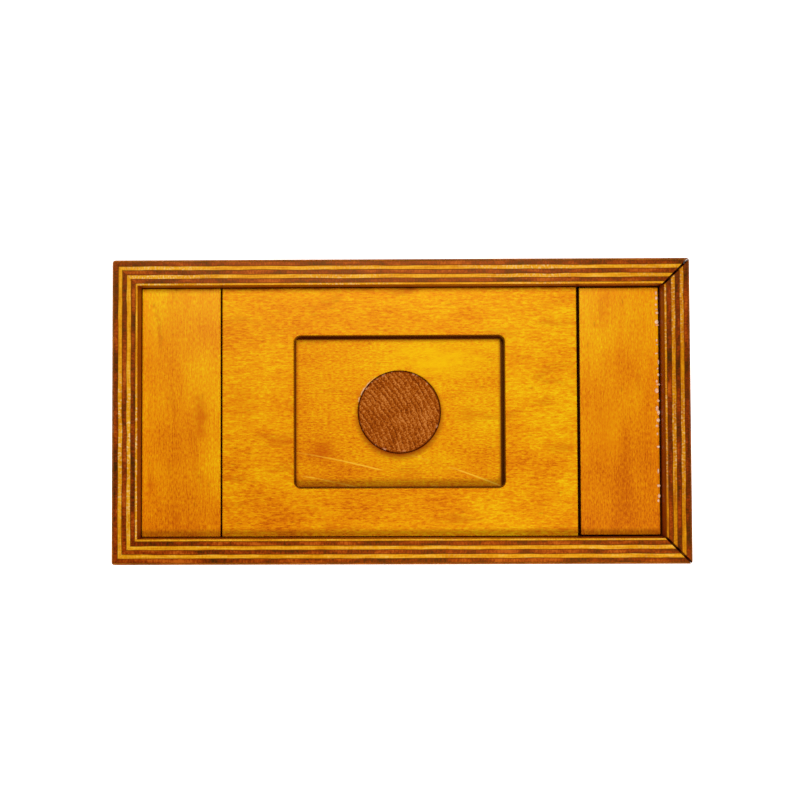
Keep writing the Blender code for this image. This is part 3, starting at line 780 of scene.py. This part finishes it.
def keep_result(piece):
    """Replace a piece's mesh with what its modifiers make of it, and take the modifiers off."""
    bpy.context.view_layer.update()
    seen = piece.evaluated_get(bpy.context.evaluated_depsgraph_get())
    mesh = bpy.data.meshes.new_from_object(seen)
    piece.modifiers.clear()
    piece.data = mesh
    mesh.name = piece.name


def new_piece(name, mesh):
    """An object at the origin for a mesh."""
    piece = bpy.data.objects.new(name, mesh)
    bpy.context.collection.objects.link(piece)
    return piece


def soften(mesh, degrees):
    """Shade smooth, with edges sharper than this kept crisp."""
    mesh.shade_smooth()
    mesh.set_sharp_from_angle(angle=math.radians(degrees))


print("inputs go by identifier:", LAMINATE.interface.items_tree["Length"].identifier)


# %% [markdown]
# ## Profiles
#
# The profile is drawn anticlockwise from the foot of the outer face. On the rim each ply has its
# own little plateau between two grooves, and the cross plies lie a hair lower, because end grain
# wears faster under sandpaper. Points crowd at the outer edge, where sanding will round it.

# %% Draw a profile
GROOVE = 0.05 * MM
GROOVE_SIDE = 0.08 * MM
CROSS_PLY_SINK = 0.05 * MM
INNER_ARRIS = 0.25 * MM
EDGE_HEIGHTS = [0.0, 0.2 * MM, 0.45 * MM, 0.75 * MM, 1.1 * MM]
FACE_STEPS = 8


def ply_limits(thickness, face, core):
    """Depths at which one ply ends and the next starts."""
    count = round((thickness - 2 * face) / core)
    return [0.0] + [face + core * step for step in range(count + 1)] + [thickness]


def rim_points(limits, top):
    """Points (depth, height) along the upper edge, ply by ply, from the outer face inwards."""
    points = []
    for number, (start, end) in enumerate(zip(limits, limits[1:])):
        level = top - CROSS_PLY_SINK * (number % 2)
        lip = min(GROOVE_SIDE, (end - start) / 5)
        points += [(start + lip, level), ((start + end) / 2, level), (end - lip, level)]
        if number < len(limits) - 2:
            points.append((end, top - CROSS_PLY_SINK - GROOVE))
    points[-1] = (limits[-1] - INNER_ARRIS, top)
    return points


def laminate_profile(name, limits, base, top, rebate=None):
    """A mesh of edges: the closed outline of a laminated board's cross-section."""
    thickness = limits[-1]
    margin = EDGE_HEIGHTS[-1]
    body = [base + margin + (top - base - 2 * margin) * step / FACE_STEPS
            for step in range(1, FACE_STEPS)]
    rising = [base + rise for rise in EDGE_HEIGHTS] + body
    rising += [top - rise for rise in reversed(EDGE_HEIGHTS)]
    outer = [(0.0, height) for height in rising]
    rim = rim_points(limits, top)
    inner = [(thickness, height) for height in reversed(body)]
    inner[0:0] = [(thickness - 0.3 * INNER_ARRIS, top - 0.3 * INNER_ARRIS),
                  (thickness, top - INNER_ARRIS)]
    if rebate:
        reach, lift = rebate
        inner = [point for point in inner if point[1] > lift]
        inner += [(thickness, lift), (thickness - reach, lift), (thickness - reach, base)]
    else:
        inner += [(thickness, base + INNER_ARRIS), (thickness - INNER_ARRIS, base)]
    foot = [(depth, base) for depth in reversed(EDGE_HEIGHTS[1:])
            if depth < inner[-1][0] - INNER_ARRIS]
    outline = outer + rim + inner + foot
    mesh = bpy.data.meshes.new(name)
    count = len(outline)
    edges = [(number, (number + 1) % count) for number in range(count)]
    mesh.from_pydata([(depth, height, 0) for depth, height in outline], edges, [])
    return mesh


print("grooves", round(GROOVE / MM, 2), "mm deep")


# %% [markdown]
# ## The four walls
#
# Each wall takes its length, height and place from its own solid. Three walls stand on the table
# and have a rebate for the bottom panel, and the drawer front hangs a little above it. The matrix
# turns the wall's own directions (along, inwards, up) into the box's.

# %% Wall helpers
BOX_LENGTH, BOX_WIDTH, BOX_HEIGHT = CAD_HIGH - CAD_LOW
HALF_LENGTH, HALF_WIDTH = BOX_LENGTH / 2, BOX_WIDTH / 2
X, Y, Z = Vector((1, 0, 0)), Vector((0, 1, 0)), Vector((0, 0, 1))
GLUE_GAP = 0.3 * MM
REBATE = (3.3 * MM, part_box("bottom_panel")[1].z + GLUE_GAP)
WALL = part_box("left_end_wall")[1].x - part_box("left_end_wall")[0].x
WALL_LIMITS = ply_limits(WALL, FACE_PLY, CORE_PLY)


def board_matrix(along, inwards, up, place):
    """From a board's own directions to the box's."""
    turn = Matrix((along, inwards, up)).transposed().to_4x4()
    return Matrix.Translation(place) @ turn


def laminated(name, profile, values, matrix):
    """Run the laminate tree on a profile and put the result in its place."""
    piece = new_piece(name, profile)
    run_tree(piece, LAMINATE, values)
    piece.data.transform(matrix)
    soften(piece.data, 25)
    return piece


def hand_in(piece, body, node):
    """Let a finished piece ride its body and stand for its node."""
    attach(piece, body)
    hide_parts(node)
    print(node, len(piece.data.polygons), "faces")


print("ply limits in mm:", [round(limit / MM, 2) for limit in WALL_LIMITS])


# %% [markdown]
# The two mitres at the left are glued tight, and the two beside the drawer stay open: there each
# wall's gap is what its solid leaves at the corner. The wall on the right has taken more stain, so
# its pale plies are nearly orange.

# %% Build the walls
GLUED = 0.01 * MM
FRONT_HIGH, BACK_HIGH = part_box("front_wall")[1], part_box("back_wall")[1]
RIGHT_LOW, RIGHT_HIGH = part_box("right_end_wall")
# The last column, beading, sets how strongly painted glints show on the pale plies of each wall.
WALLS = (
    # node, body, length, start gap, end gap, base, along, inwards, place, soak, beading
    ("front_wall", "case", BOX_LENGTH, GLUED, HALF_LENGTH - FRONT_HIGH.x,
     0.0, X, Y, (0, -HALF_WIDTH, 0), 0.0, 0.1),
    ("back_wall", "case", BOX_LENGTH, HALF_LENGTH - BACK_HIGH.x, GLUED,
     0.0, -X, -Y, (0, HALF_WIDTH, 0), 0.0, 0.5),
    ("left_end_wall", "case", BOX_WIDTH, GLUED, GLUED, 0.0, -Y, X, (-HALF_LENGTH, 0, 0), 0.03,
     0.65),
    ("right_end_wall", "drawer", BOX_WIDTH, RIGHT_LOW.y + HALF_WIDTH, HALF_WIDTH - RIGHT_HIGH.y,
     RIGHT_LOW.z, Y, -X, (HALF_LENGTH, 0, 0), 0.22, 0.4),
)
for number, row in enumerate(WALLS):
    node, body, length, start, end, base, along, inwards, place, *look = row
    finish = plywood("stained_birch_plywood_" + node, FACE_PLY / MM, CORE_PLY / MM, WALL / MM,
                     (61.0 * number, 0.0, 23.0 * number), STAINED, *look)
    profile = laminate_profile(node + "_profile", WALL_LIMITS, base, BOX_HEIGHT,
                               REBATE if body == "case" else None)
    values = {"Length": length, "Height": BOX_HEIGHT, "Base": base, "Thickness": WALL,
              "Mitre": 1.0, "Start gap": start, "End gap": end, "Closing": 0.9,
              "Edge round": 1.0 * MM, "Wave": 0.7 * MM, "Relief": 0.06 * MM, "Stations": 240,
              "Seed": 3.7 * number, "Material": finish}
    wall = laminated(node + "_veneered", profile, values, board_matrix(along, inwards, Z, place))
    hand_in(wall, body, node)


# %% [markdown]
# ## Boards
#
# The three cover boards and the deck are plain planks, so they are plain meshes: a block from the
# solid's own box, with the window or the bore cut out, and then a fine rounded arris all round, as
# a few strokes of sandpaper leave. The arris catches the light and is what makes a board look like
# a board and not like a drawing.

# %% Plank helper
ARRIS = 0.28 * MM


def block(name, low, high):
    """A rectangular block between two corners, as an object at the origin."""
    shape = bmesh.new()
    bmesh.ops.create_cube(shape, size=1)
    bmesh.ops.scale(shape, vec=high - low, verts=shape.verts)
    bmesh.ops.translate(shape, vec=(low + high) / 2, verts=shape.verts)
    mesh = bpy.data.meshes.new(name)
    shape.to_mesh(mesh)
    shape.free()
    return new_piece(name, mesh)


def turned(name, profile, steps, centre):
    """A closed turned solid about a vertical axis: points (radius, height) from axis to axis."""
    shape = bmesh.new()
    rings = []
    for radius, height in profile:
        count = steps if radius > 0 else 1
        angles = [2 * math.pi * step / count for step in range(count)]
        rings.append([shape.verts.new((centre.x + radius * math.cos(angle),
                                       centre.y + radius * math.sin(angle), height))
                      for angle in angles])
    for lower, upper in zip(rings, rings[1:]):
        for step in range(steps):
            after = (step + 1) % steps
            corners = [lower[step % len(lower)], lower[after % len(lower)],
                       upper[after % len(upper)], upper[step % len(upper)]]
            shape.faces.new(list(dict.fromkeys(corners)))
    bmesh.ops.recalc_face_normals(shape, faces=shape.faces)
    mesh = bpy.data.meshes.new(name)
    shape.to_mesh(mesh)
    shape.free()
    return new_piece(name, mesh)


def cut_out(piece, cutter):
    """Subtract a cutter from a piece and throw the cutter away."""
    tool = piece.modifiers.new("cut", "BOOLEAN")
    tool.object = cutter
    tool.solver = "EXACT"
    keep_result(piece)
    bpy.data.objects.remove(cutter, do_unlink=True)


def round_arrises(piece):
    """Round every sharp edge a little."""
    edge = piece.modifiers.new("arris", "BEVEL")
    edge.width = ARRIS
    edge.segments = 3
    edge.limit_method = "ANGLE"
    edge.angle_limit = math.radians(50)
    keep_result(piece)


def finish_plank(piece, material, along, through):
    """Mark the grain, give the material and shade, with each flat face left truly flat."""
    low = Vector(map(min, zip(*(v.co for v in piece.data.vertices))))
    high = Vector(map(max, zip(*(v.co for v in piece.data.vertices))))
    mark_grain(piece.data, (low + high) / 2, along, through)
    piece.data.materials.clear()
    piece.data.materials.append(material)
    soften(piece.data, 12)


print("arris", round(ARRIS / MM, 2), "mm")


# %% [markdown]
# The window is a rectangle with small round corners, and the bore in the deck is stepped, so the
# dowel's head can hang in it. Both are cut before the arrises are rounded, so that the edges of
# the window and of the bore are softened too.

# %% Window and bore
WINDOW_ROUND = 2.2 * MM
TURNING = 0.3 * MM
SHANK_RADIUS = 10.0 * MM
HEAD_HEIGHT = 2.9 * MM


def window_cutter(low, high):
    """An upright prism with round corners."""
    middle = Vector((LOCK_AXIS.x, 0, 0))
    cutter = block("window", middle - WINDOW_HALF + Z * low, middle + WINDOW_HALF + Z * high)
    shape = bmesh.new()
    shape.from_mesh(cutter.data)
    upright = [edge for edge in shape.edges
               if abs((edge.verts[0].co - edge.verts[1].co).z) > MM]
    bmesh.ops.bevel(shape, geom=upright, offset=WINDOW_ROUND, segments=10, affect="EDGES",
                    profile=0.5)
    shape.to_mesh(cutter.data)
    shape.free()
    return cutter


def bore_cutter(low, high):
    """The stepped hole: a narrow one for the shank under a wide one for the head."""
    step = high - HEAD_HEIGHT - TURNING
    shank, head = SHANK_RADIUS + TURNING, DOWEL_RADIUS + 0.5 * TURNING
    bore = ((0, low - MM), (shank, low - MM), (shank, step), (head, step), (head, high + MM),
            (0, high + MM))
    return turned("bore", bore, 128, LOCK_AXIS)


print("window", *[round(2 * side / MM, 1) for side in WINDOW_HALF.xy], "mm")


# %% [markdown]
# Each board was sawn from its own place and has its own look: the end boards lie with their grain
# across the box, the left one has a red streak, and the deck has a yellow patch above the dowel
# and two blushes. The end boards also carry a little more varnish.

# %% Cut and place the boards
BOARDS = (
    # node, body, grain axis, offset in the log, lean, tone, streaks, nap, sheen, marks
    ("left_top_board", "case", 1, (13.0, 5.0, 211.0), (5.0, 0.0), 0.5, 0.5, 2.0, 0.03,
     (((-62.5, -1.0), (2.8, 9.0), "#C65200", 0.65),)),
    ("centre_top_board", "case", 0, (120.0, 40.0, 17.0), (1.2, 2.0), 0.53, 0.5, 2.4, 0.01,
     (((-50.0, 3.0), (6.0, 9.0), "#D87400", 0.35),)),
    ("right_top_board", "drawer", 1, (47.0, 77.0, 140.0), (5.5, 0.0), 0.4, 0.4, 1.9, 0.04,
     (((64.0, -7.0), (6.0, 12.0), "#DC7400", 0.4),)),
    ("deck", "case", 0, (300.0, 9.0, 61.0), (3.0, 4.0), 0.53, 0.4, 2.8, 0.006,
     (((12.0, 16.5), (22.0, 8.0), "#F8CC00", 0.75), ((-25.0, -12.0), (5.0, 5.5), "#C04A00", 0.6),
      ((22.0, -1.0), (6.5, 3.5), "#D06400", 0.5))),
)
for node, body, grain, offset, yellowing_and_light, tone, streaks, nap, sheen, marks in BOARDS:
    low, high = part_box(node)
    plank = block(node + "_planed", low, high)
    if node == "centre_top_board":
        cut_out(plank, window_cutter(low.z - MM, high.z + MM))
    if node == "deck":
        cut_out(plank, bore_cutter(low.z, high.z))
    round_arrises(plank)
    finish = amber_board("amber_stained_basswood_" + node, offset, yellowing_and_light, tone, streaks, nap,
                         sheen, marks, node == "deck")
    finish_plank(plank, finish, grain, 2)
    hand_in(plank, body, node)


# %% [markdown]
# ## The dowel's end grain
#
# A dowel is turned along the grain, so its flat end shows the pores from above: a dark, thirsty
# surface crossed by growth rings. The ring centre lies well outside a one-inch dowel, so the rings
# come out as nearly straight bands, here 1.5 mm apart. Open pores make light and dark specks,
# which are drawn about twice their real 0.2 mm, because finer ones wouldn't show.

# %% Dowel material
RING_CENTRE = (-39.0, -22.0, 0.0)
RING_SPACING = 1.5


def dowel_end_grain(name):
    """Hardwood end grain, cut, sanded and stained, with very little varnish left on it."""
    material, tree, shader = new_material(name)
    spot = board_millimetres(tree)
    far = from_axis(tree, spot, RING_CENTRE)[1]
    ragged = weighed(tree, far, (cloud(tree, spot, (2.5, 2.5, 20), 3), 2.0))
    ring = add(tree, "ShaderNodeMath", {0: ragged, 1: 1 / RING_SPACING}, operation="MULTIPLY")
    ring = add(tree, "ShaderNodeMath", {0: ring}, operation="FRACT")
    specks = cloud(tree, spot, (0.5, 0.5, 4), 2, 0.8)
    mixed = weighed(tree, 0.51, (ring, 0.42), (specks, 2.0),
                    (cloud(tree, spot, (6, 6, 30), 1), 0.5))
    tone = add(tree, "ShaderNodeValToRGB", {"Fac": mixed},
               stops=((0.12, "#5C1602"), (0.4, "#8E3602"), (0.6, "#A8540A"), (0.88, "#D0823E")))
    radius = from_axis(tree, spot, (0, 0, 0))[1]
    edge = DOWEL_RADIUS / MM
    tone = layer(tree, tone, "#641800", radius, edge - 0.6, edge - 0.2, 0.8)
    torn = cloud(tree, spot, (1.6, 1.6, 9), 2)
    chips = add(tree, "ShaderNodeMapRange", {"Value": radius, "From Min": edge - 1.1,
                                             "From Max": edge - 0.6})
    chips = add(tree, "ShaderNodeMath", {0: chips, 1: torn}, operation="MULTIPLY")
    tone = layer(tree, tone, "#E0A078", chips, 0.56, 0.66, 0.7)
    finish_shader(tree, shader, tone, specks, (0.5, 0.6), (0.5, 0.1), AMBER_TINT)
    return material


print("rings every", RING_SPACING, "mm")


# %% [markdown]
# The dowel itself is turned: a head that fills the bore, a step, a shank, and a blind hole for the
# screw. Its top is drawn in many rings, so that the rim can be a little ragged, the way a saw
# leaves end grain, with a few chips missing.

# %% Turn the dowel
SCREW_HOLE = 1.8 * MM
RIM_ROUND = 0.2 * MM
TOP_RINGS = 24
TEAR = 1.6 * MM


def dowel_profile():
    """Points (radius, height) from the screw hole's end, round the shank and head, to the top."""
    hole_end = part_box("arm_screw")[1].z + GLUE_GAP
    foot, top = LOCK_LOW.z, LOCK_HIGH.z
    points = [(0, hole_end), (SCREW_HOLE, hole_end), (SCREW_HOLE, foot),
              (SHANK_RADIUS - ARRIS, foot), (SHANK_RADIUS, foot + ARRIS),
              (SHANK_RADIUS, top - HEAD_HEIGHT), (DOWEL_RADIUS - ARRIS, top - HEAD_HEIGHT),
              (DOWEL_RADIUS, top - HEAD_HEIGHT + ARRIS)]
    points += [(DOWEL_RADIUS, top - lift * MM) for lift in (1.2, 0.8, 0.5)]
    inside = DOWEL_RADIUS - RIM_ROUND
    for step in range(6):
        angle = math.radians(90 * step / 5)
        points.append((inside + RIM_ROUND * math.cos(angle),
                       top - RIM_ROUND * (1 - math.sin(angle))))
    points += [(inside * (1 - step / TOP_RINGS), top) for step in range(1, TOP_RINGS)]
    return points + [(0, top)]


def chip_rim(mesh):
    """Lower the rim here and there, as torn end grain does."""
    start = DOWEL_RADIUS - TEAR
    for vertex in mesh.vertices:
        out = Vector((vertex.co.x - LOCK_AXIS.x, vertex.co.y - LOCK_AXIS.y))
        if vertex.co.z < LOCK_HIGH.z - 0.6 * MM or out.length < start:
            continue
        angle = math.atan2(out.y, out.x)
        tear = math.sin(angle * 5 + 1.3) * math.sin(angle * 11 + 0.4) + 0.4 * math.sin(angle * 29)
        vertex.co.z -= max(0.0, tear - 0.35) * (out.length - start) / TEAR * 0.45 * MM


dowel = turned("lock_dowel_turned", dowel_profile(), 160, LOCK_AXIS)
chip_rim(dowel.data)
finish_plank(dowel, dowel_end_grain("sanded_dowel_end_grain"), 0, 1)
hand_in(dowel, "lock", "lock_dowel")


# %% [markdown]
# ## Glue beads
#
# The right cover board was glued to the drawer front after both were finished, and the glue has
# squeezed out in a row of small hard beads, more of them towards the back. They follow a line and
# repeat, so Geometry Nodes place them: points along the edge, most of them kept, each with a
# stretched bead of its own size.

# %% Glue material and tree
def glue_material(name):
    """Hardened wood glue: cloudy, slightly pink where it took up stain, with a dull skin."""
    material, tree, shader = new_material(name)
    milky = cloud(tree, box_millimetres(tree), (1.1, 1.1, 1.1))
    tone = add(tree, "ShaderNodeValToRGB", {"Fac": milky},
               stops=((0.3, "#E8A070"), (0.5, "#FBC9A0"), (0.7, "#FFE2C8")))
    tree.links.new(tone, shader.inputs["Base Color"])
    shader.inputs["Roughness"].default_value = 0.5
    shader.inputs["IOR"].default_value = 1.47
    shader.inputs["Specular Tint"].default_value = colour("#FFC890")
    shader.inputs["Subsurface Weight"].default_value = 0.2
    shader.inputs["Subsurface Radius"].default_value = (0.001, 0.0006, 0.0003)
    return material


def bead_tree():
    """The node group that sets beads along a line, fewer of them towards its end."""
    sizes = ("Spacing", "Bead radius", "Spread", "Kept share", "Thinning")
    tree, given = new_group("glue_beads", sizes, "Seed")
    line = add(tree, "GeometryNodeMeshToCurve", {"Mesh": given["Geometry"]})
    points = add(tree, "GeometryNodeResampleCurve", {"Curve": line, "Length": given["Spacing"]},
                 mode="LENGTH")
    along = add(tree, "GeometryNodeSplineParameter", out="Factor")
    lost = add(tree, "ShaderNodeMath", {0: along, 1: given["Thinning"]}, operation="MULTIPLY")
    share = add(tree, "ShaderNodeMath", {0: given["Kept share"], 1: lost}, operation="SUBTRACT")
    kept = add(tree, "FunctionNodeRandomValue", {"Probability": share, "Seed": given["Seed"]},
               data_type="BOOLEAN", out=3)
    other = add(tree, "ShaderNodeMath", {0: given["Seed"], 1: 11.0}, operation="ADD")
    stray = add(tree, "FunctionNodeRandomValue", {"Min": (-1, -2.2, -0.2), "Max": (0.5, 2.2, 0.5),
                                                  "Seed": other}, data_type="FLOAT_VECTOR")
    stray = add(tree, "ShaderNodeVectorMath", {0: stray, "Scale": given["Spread"]},
                operation="SCALE")
    moved = add(tree, "GeometryNodeSetPosition", {"Geometry": points, "Offset": stray})
    bead = add(tree, "GeometryNodeMeshIcoSphere", {"Radius": given["Bead radius"],
                                                   "Subdivisions": 2})
    more = add(tree, "ShaderNodeMath", {0: given["Seed"], 1: 23.0}, operation="ADD")
    size = add(tree, "FunctionNodeRandomValue", {"Min": (0.5, 0.4, 0.3), "Max": (1.5, 2.1, 0.7),
                                                 "Seed": more}, data_type="FLOAT_VECTOR")
    beads = add(tree, "GeometryNodeInstanceOnPoints", {"Points": moved, "Selection": kept,
                                                       "Instance": bead, "Scale": size})
    real = add(tree, "GeometryNodeRealizeInstances", {"Geometry": beads})
    done = add(tree, "GeometryNodeSetMaterial", {"Geometry": real, "Material": given["Material"]})
    add(tree, "NodeGroupOutput", {"Geometry": done}, out=None)
    return tree


BEADS = bead_tree()
print("bead tree:", len(BEADS.nodes), "nodes")


# %% [markdown]
# The line runs along the board's right edge, from the back to the front, a hair inside the edge,
# so that the beads sit on the arris and not in the groove beside it.

# %% Glue along the drawer's board
FROM_EDGE, FROM_ENDS = 0.35 * MM, 1.5 * MM
board_low, board_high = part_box("right_top_board")
edge_x = board_high.x - FROM_EDGE
line = bpy.data.meshes.new("glue_line")
line.from_pydata([(edge_x, board_high.y - FROM_ENDS, board_high.z),
                  (edge_x, board_low.y + FROM_ENDS, board_high.z)], [(0, 1)], [])
beads = new_piece("drawer_board_glue", line)
run_tree(beads, BEADS, {
    "Spacing": 1.8 * MM, "Bead radius": 0.44 * MM, "Spread": 0.4 * MM, "Kept share": 1.0,
    "Thinning": 0.75, "Seed": 4, "Material": glue_material("hardened_wood_glue")})
beads.data.shade_smooth()
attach(beads, "drawer")
print("glue beads:", len(beads.data.polygons), "faces")


# %% [markdown]
# ## Inside
#
# The tray, its catches and the strips under the deck are left bare: sanded birch plywood and
# beech. The beech blocks keep their own solids, which already have broken edges, and only get
# their wood, a close grain with short dark rays. The pin and the screw are drawn steel, bright
# with fine lines from the die.

# %% Beech and steel
def beech(name, offset):
    """Sanded beech: pinkish tan, close-grained, with short dark ray flecks along the grain."""
    material, tree, shader = new_material(name)
    spot = add(tree, "ShaderNodeVectorMath", {0: box_millimetres(tree), 1: offset},
               operation="ADD")
    lines = cloud(tree, spot, (12, 0.7, 0.7), 4)
    tone = add(tree, "ShaderNodeValToRGB", {"Fac": lines},
               stops=((0.3, "#B98457"), (0.5, "#CC9C6E"), (0.7, "#DAB086")))
    ray = add(tree, "ShaderNodeVectorMath", {0: spot, 1: (1 / 2.6, 1 / 0.6, 1 / 0.6)},
              operation="MULTIPLY")
    fleck = add(tree, "ShaderNodeTexVoronoi", {"Vector": ray, "Scale": 1.0}, out="Distance")
    tone = layer(tree, tone, "#9A6038", fleck, 0.24, 0.1, 0.5)
    finish_shader(tree, shader, tone, lines, (0.55, 0.65), (0.3, 0.05), "#FFFFFF")
    return material


def drawn_steel(name):
    """Cold-drawn steel wire: bright, with fine lines round it from the die and the polishing."""
    material, tree, shader = new_material(name)
    fine = cloud(tree, box_millimetres(tree), (0.25, 2.0, 2.0), 3)
    tone = add(tree, "ShaderNodeValToRGB", {"Fac": fine},
               stops=((0.3, "#A9ABAE"), (0.7, "#D2D4D6")))
    tree.links.new(tone, shader.inputs["Base Color"])
    rough = add(tree, "ShaderNodeMapRange", {"Value": fine, "To Min": 0.2, "To Max": 0.38})
    tree.links.new(rough, shader.inputs["Roughness"])
    shader.inputs["Metallic"].default_value = 1.0
    return material


def refinish(node, material):
    """Give a solid of the model a material."""
    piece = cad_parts[node]
    piece.data.materials.clear()
    piece.data.materials.append(material)


BEECH_NODES = ("front_batten", "back_batten", "end_batten", "pin_block", "pin_bore_plug",
               "stop_block", "catch_block", "stop_lug", "lock_arm")
for number, node in enumerate(BEECH_NODES):
    refinish(node, beech("sanded_beech_" + node, (17.0 * number, 3.0 * number, 0.0)))
steel = drawn_steel("cold_drawn_steel")
for node in ("tilt_pin", "arm_screw"):
    refinish(node, steel)
print("beech:", len(BEECH_NODES), "pieces")


# %% [markdown]
# The tray's walls and the two panels go through the same laminate tree as the walls, with three
# plies and square ends. A panel lies flat, so its depth points down into the board and its length
# runs along the box.

# %% Tray and bottom
THIN_FACE = 0.3   # a face ply's share of the thickness


def thin_board(node, body, along, inwards, up, seed):
    """A three-ply board in the place of a node."""
    low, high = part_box(node)
    length, thickness, height = (abs((high - low).dot(side)) for side in (along, inwards, up))
    place = (low + high - inwards * thickness - up * height) / 2
    face, core = thickness * THIN_FACE, thickness * (1 - 2 * THIN_FACE)
    limits = [0.0, face, face + core, thickness]
    profile = laminate_profile(node + "_profile", limits, 0.0, height)
    bare = plywood("unfinished_birch_plywood_" + node, face / MM, core / MM, thickness / MM,
                   (29.0 * seed, 0.0, 53.0 * seed), PLAIN)
    values = {"Length": length, "Height": height, "Base": 0.0, "Thickness": thickness,
              "Mitre": 0.0, "Start gap": 0.0, "End gap": 0.0, "Closing": 0.0,
              "Edge round": 0.25 * MM, "Wave": 0.25 * MM, "Relief": 0.03 * MM, "Stations": 90,
              "Seed": 1.3 * seed, "Material": bare}
    piece = laminated(node + "_sanded", profile, values, board_matrix(along, inwards, up, place))
    hand_in(piece, body, node)


thin_board("tray_front_side", "drawer", X, Y, Z, 1)
thin_board("tray_back_side", "drawer", -X, -Y, Z, 2)
thin_board("tray_rear", "drawer", -Y, X, Z, 3)
thin_board("tray_head", "drawer", Y, -X, Z, 4)
thin_board("tray_bottom", "drawer", X, -Z, Y, 5)
thin_board("bottom_panel", "case", X, -Z, Y, 6)


# %% [markdown]
# ## Camera
#
# The camera looks down from 35 cm above the rim, a little left of the middle and nearer to the
# front. It leans by less than two degrees, which lets it see a hair more of the window's far edge
# than of the near one.

# %% Camera
EYE = Vector((-4.6 * MM, -7.45 * MM, CAD_HIGH.z + 350 * MM))
EYE_TURN = (1.78, 0.5, -0.2)


def aim_camera():
    """The camera above the box."""
    camera = bpy.data.cameras.new("overhead")
    camera.sensor_width = 36.0
    camera.lens = 51.36
    camera.shift_x = 0.03
    camera.clip_start = 0.01
    camera.clip_end = 20.0
    holder = new_piece("overhead", camera)
    holder.location = EYE
    holder.rotation_euler = [math.radians(turn) for turn in EYE_TURN]
    bpy.context.scene.camera = holder


aim_camera()
print("camera", round(EYE.z, 3), "m above the table")


# %% [markdown]
# ## Floor and light
#
# The floor glows as a light table does, so that hardly a shadow is left around the box, and the
# backdrop looks just as white. It lights the box only weakly, though: a world can be bright to the
# eye and dim as a lamp. A square soft box in front, slightly warm, gives most of the shape, and a
# wide one behind lays a faint sheen on the boards.

# %% Floor and lights
FLOOR_REACH = 3.0
ROOM_LIGHT = 0.12


def white_floor():
    """A white sheet that glows."""
    material, tree, shader = new_material("white_sweep")
    shader.inputs["Base Color"].default_value = colour("#F4F4F4")
    shader.inputs["Roughness"].default_value = 0.9
    shader.inputs["Specular IOR Level"].default_value = 0.0
    shader.inputs["Emission Color"].default_value = (1, 1, 1, 1)
    shader.inputs["Emission Strength"].default_value = 1.0
    mesh = bpy.data.meshes.new("floor")
    corners = [(x * FLOOR_REACH, y * FLOOR_REACH, 0)
               for x, y in ((-1, -1), (1, -1), (1, 1), (-1, 1))]
    mesh.from_pydata(corners, [], [(0, 1, 2, 3)])
    mesh.materials.append(material)
    floor = new_piece("floor", mesh)


def soft_box(name, place, target, size, power, tint):
    """A rectangular area light aimed at a point."""
    lamp = bpy.data.lights.new(name, "AREA")
    lamp.shape = "RECTANGLE"
    lamp.size, lamp.size_y = size
    lamp.energy = power
    lamp.color = colour(tint)[:3]
    holder = new_piece(name, lamp)
    holder.location = place
    aim = Vector(target) - Vector(place)
    holder.rotation_euler = aim.to_track_quat("-Z", "Y").to_euler()


def light_all_round():
    """Weak even light from a backdrop that looks as white as the floor."""
    world = bpy.data.worlds.new("even_light")
    world.use_nodes = True
    tree = world.node_tree
    sky = tree.nodes["Background"]
    sky.inputs["Color"].default_value = (1, 1, 1, 1)
    seen = add(tree, "ShaderNodeLightPath", out="Is Camera Ray")
    strength = add(tree, "ShaderNodeMapRange", {"Value": seen, "To Min": ROOM_LIGHT,
                                                "To Max": 1.0})
    tree.links.new(strength, sky.inputs["Strength"])
    bpy.context.scene.world = world


white_floor()
light_all_round()
soft_box("front_box", (0.16, -0.36, 0.9), (0, 0, 0.04), (0.2, 0.2), 3.9, "#FFF4E6")
soft_box("back_box", (-0.02, 0.24, 1.0), (0, 0, 0.04), (0.5, 0.24), 4.4, "#FFFFFF")
view = bpy.context.scene.view_settings
view.view_transform = "Standard"
view.look = "None"
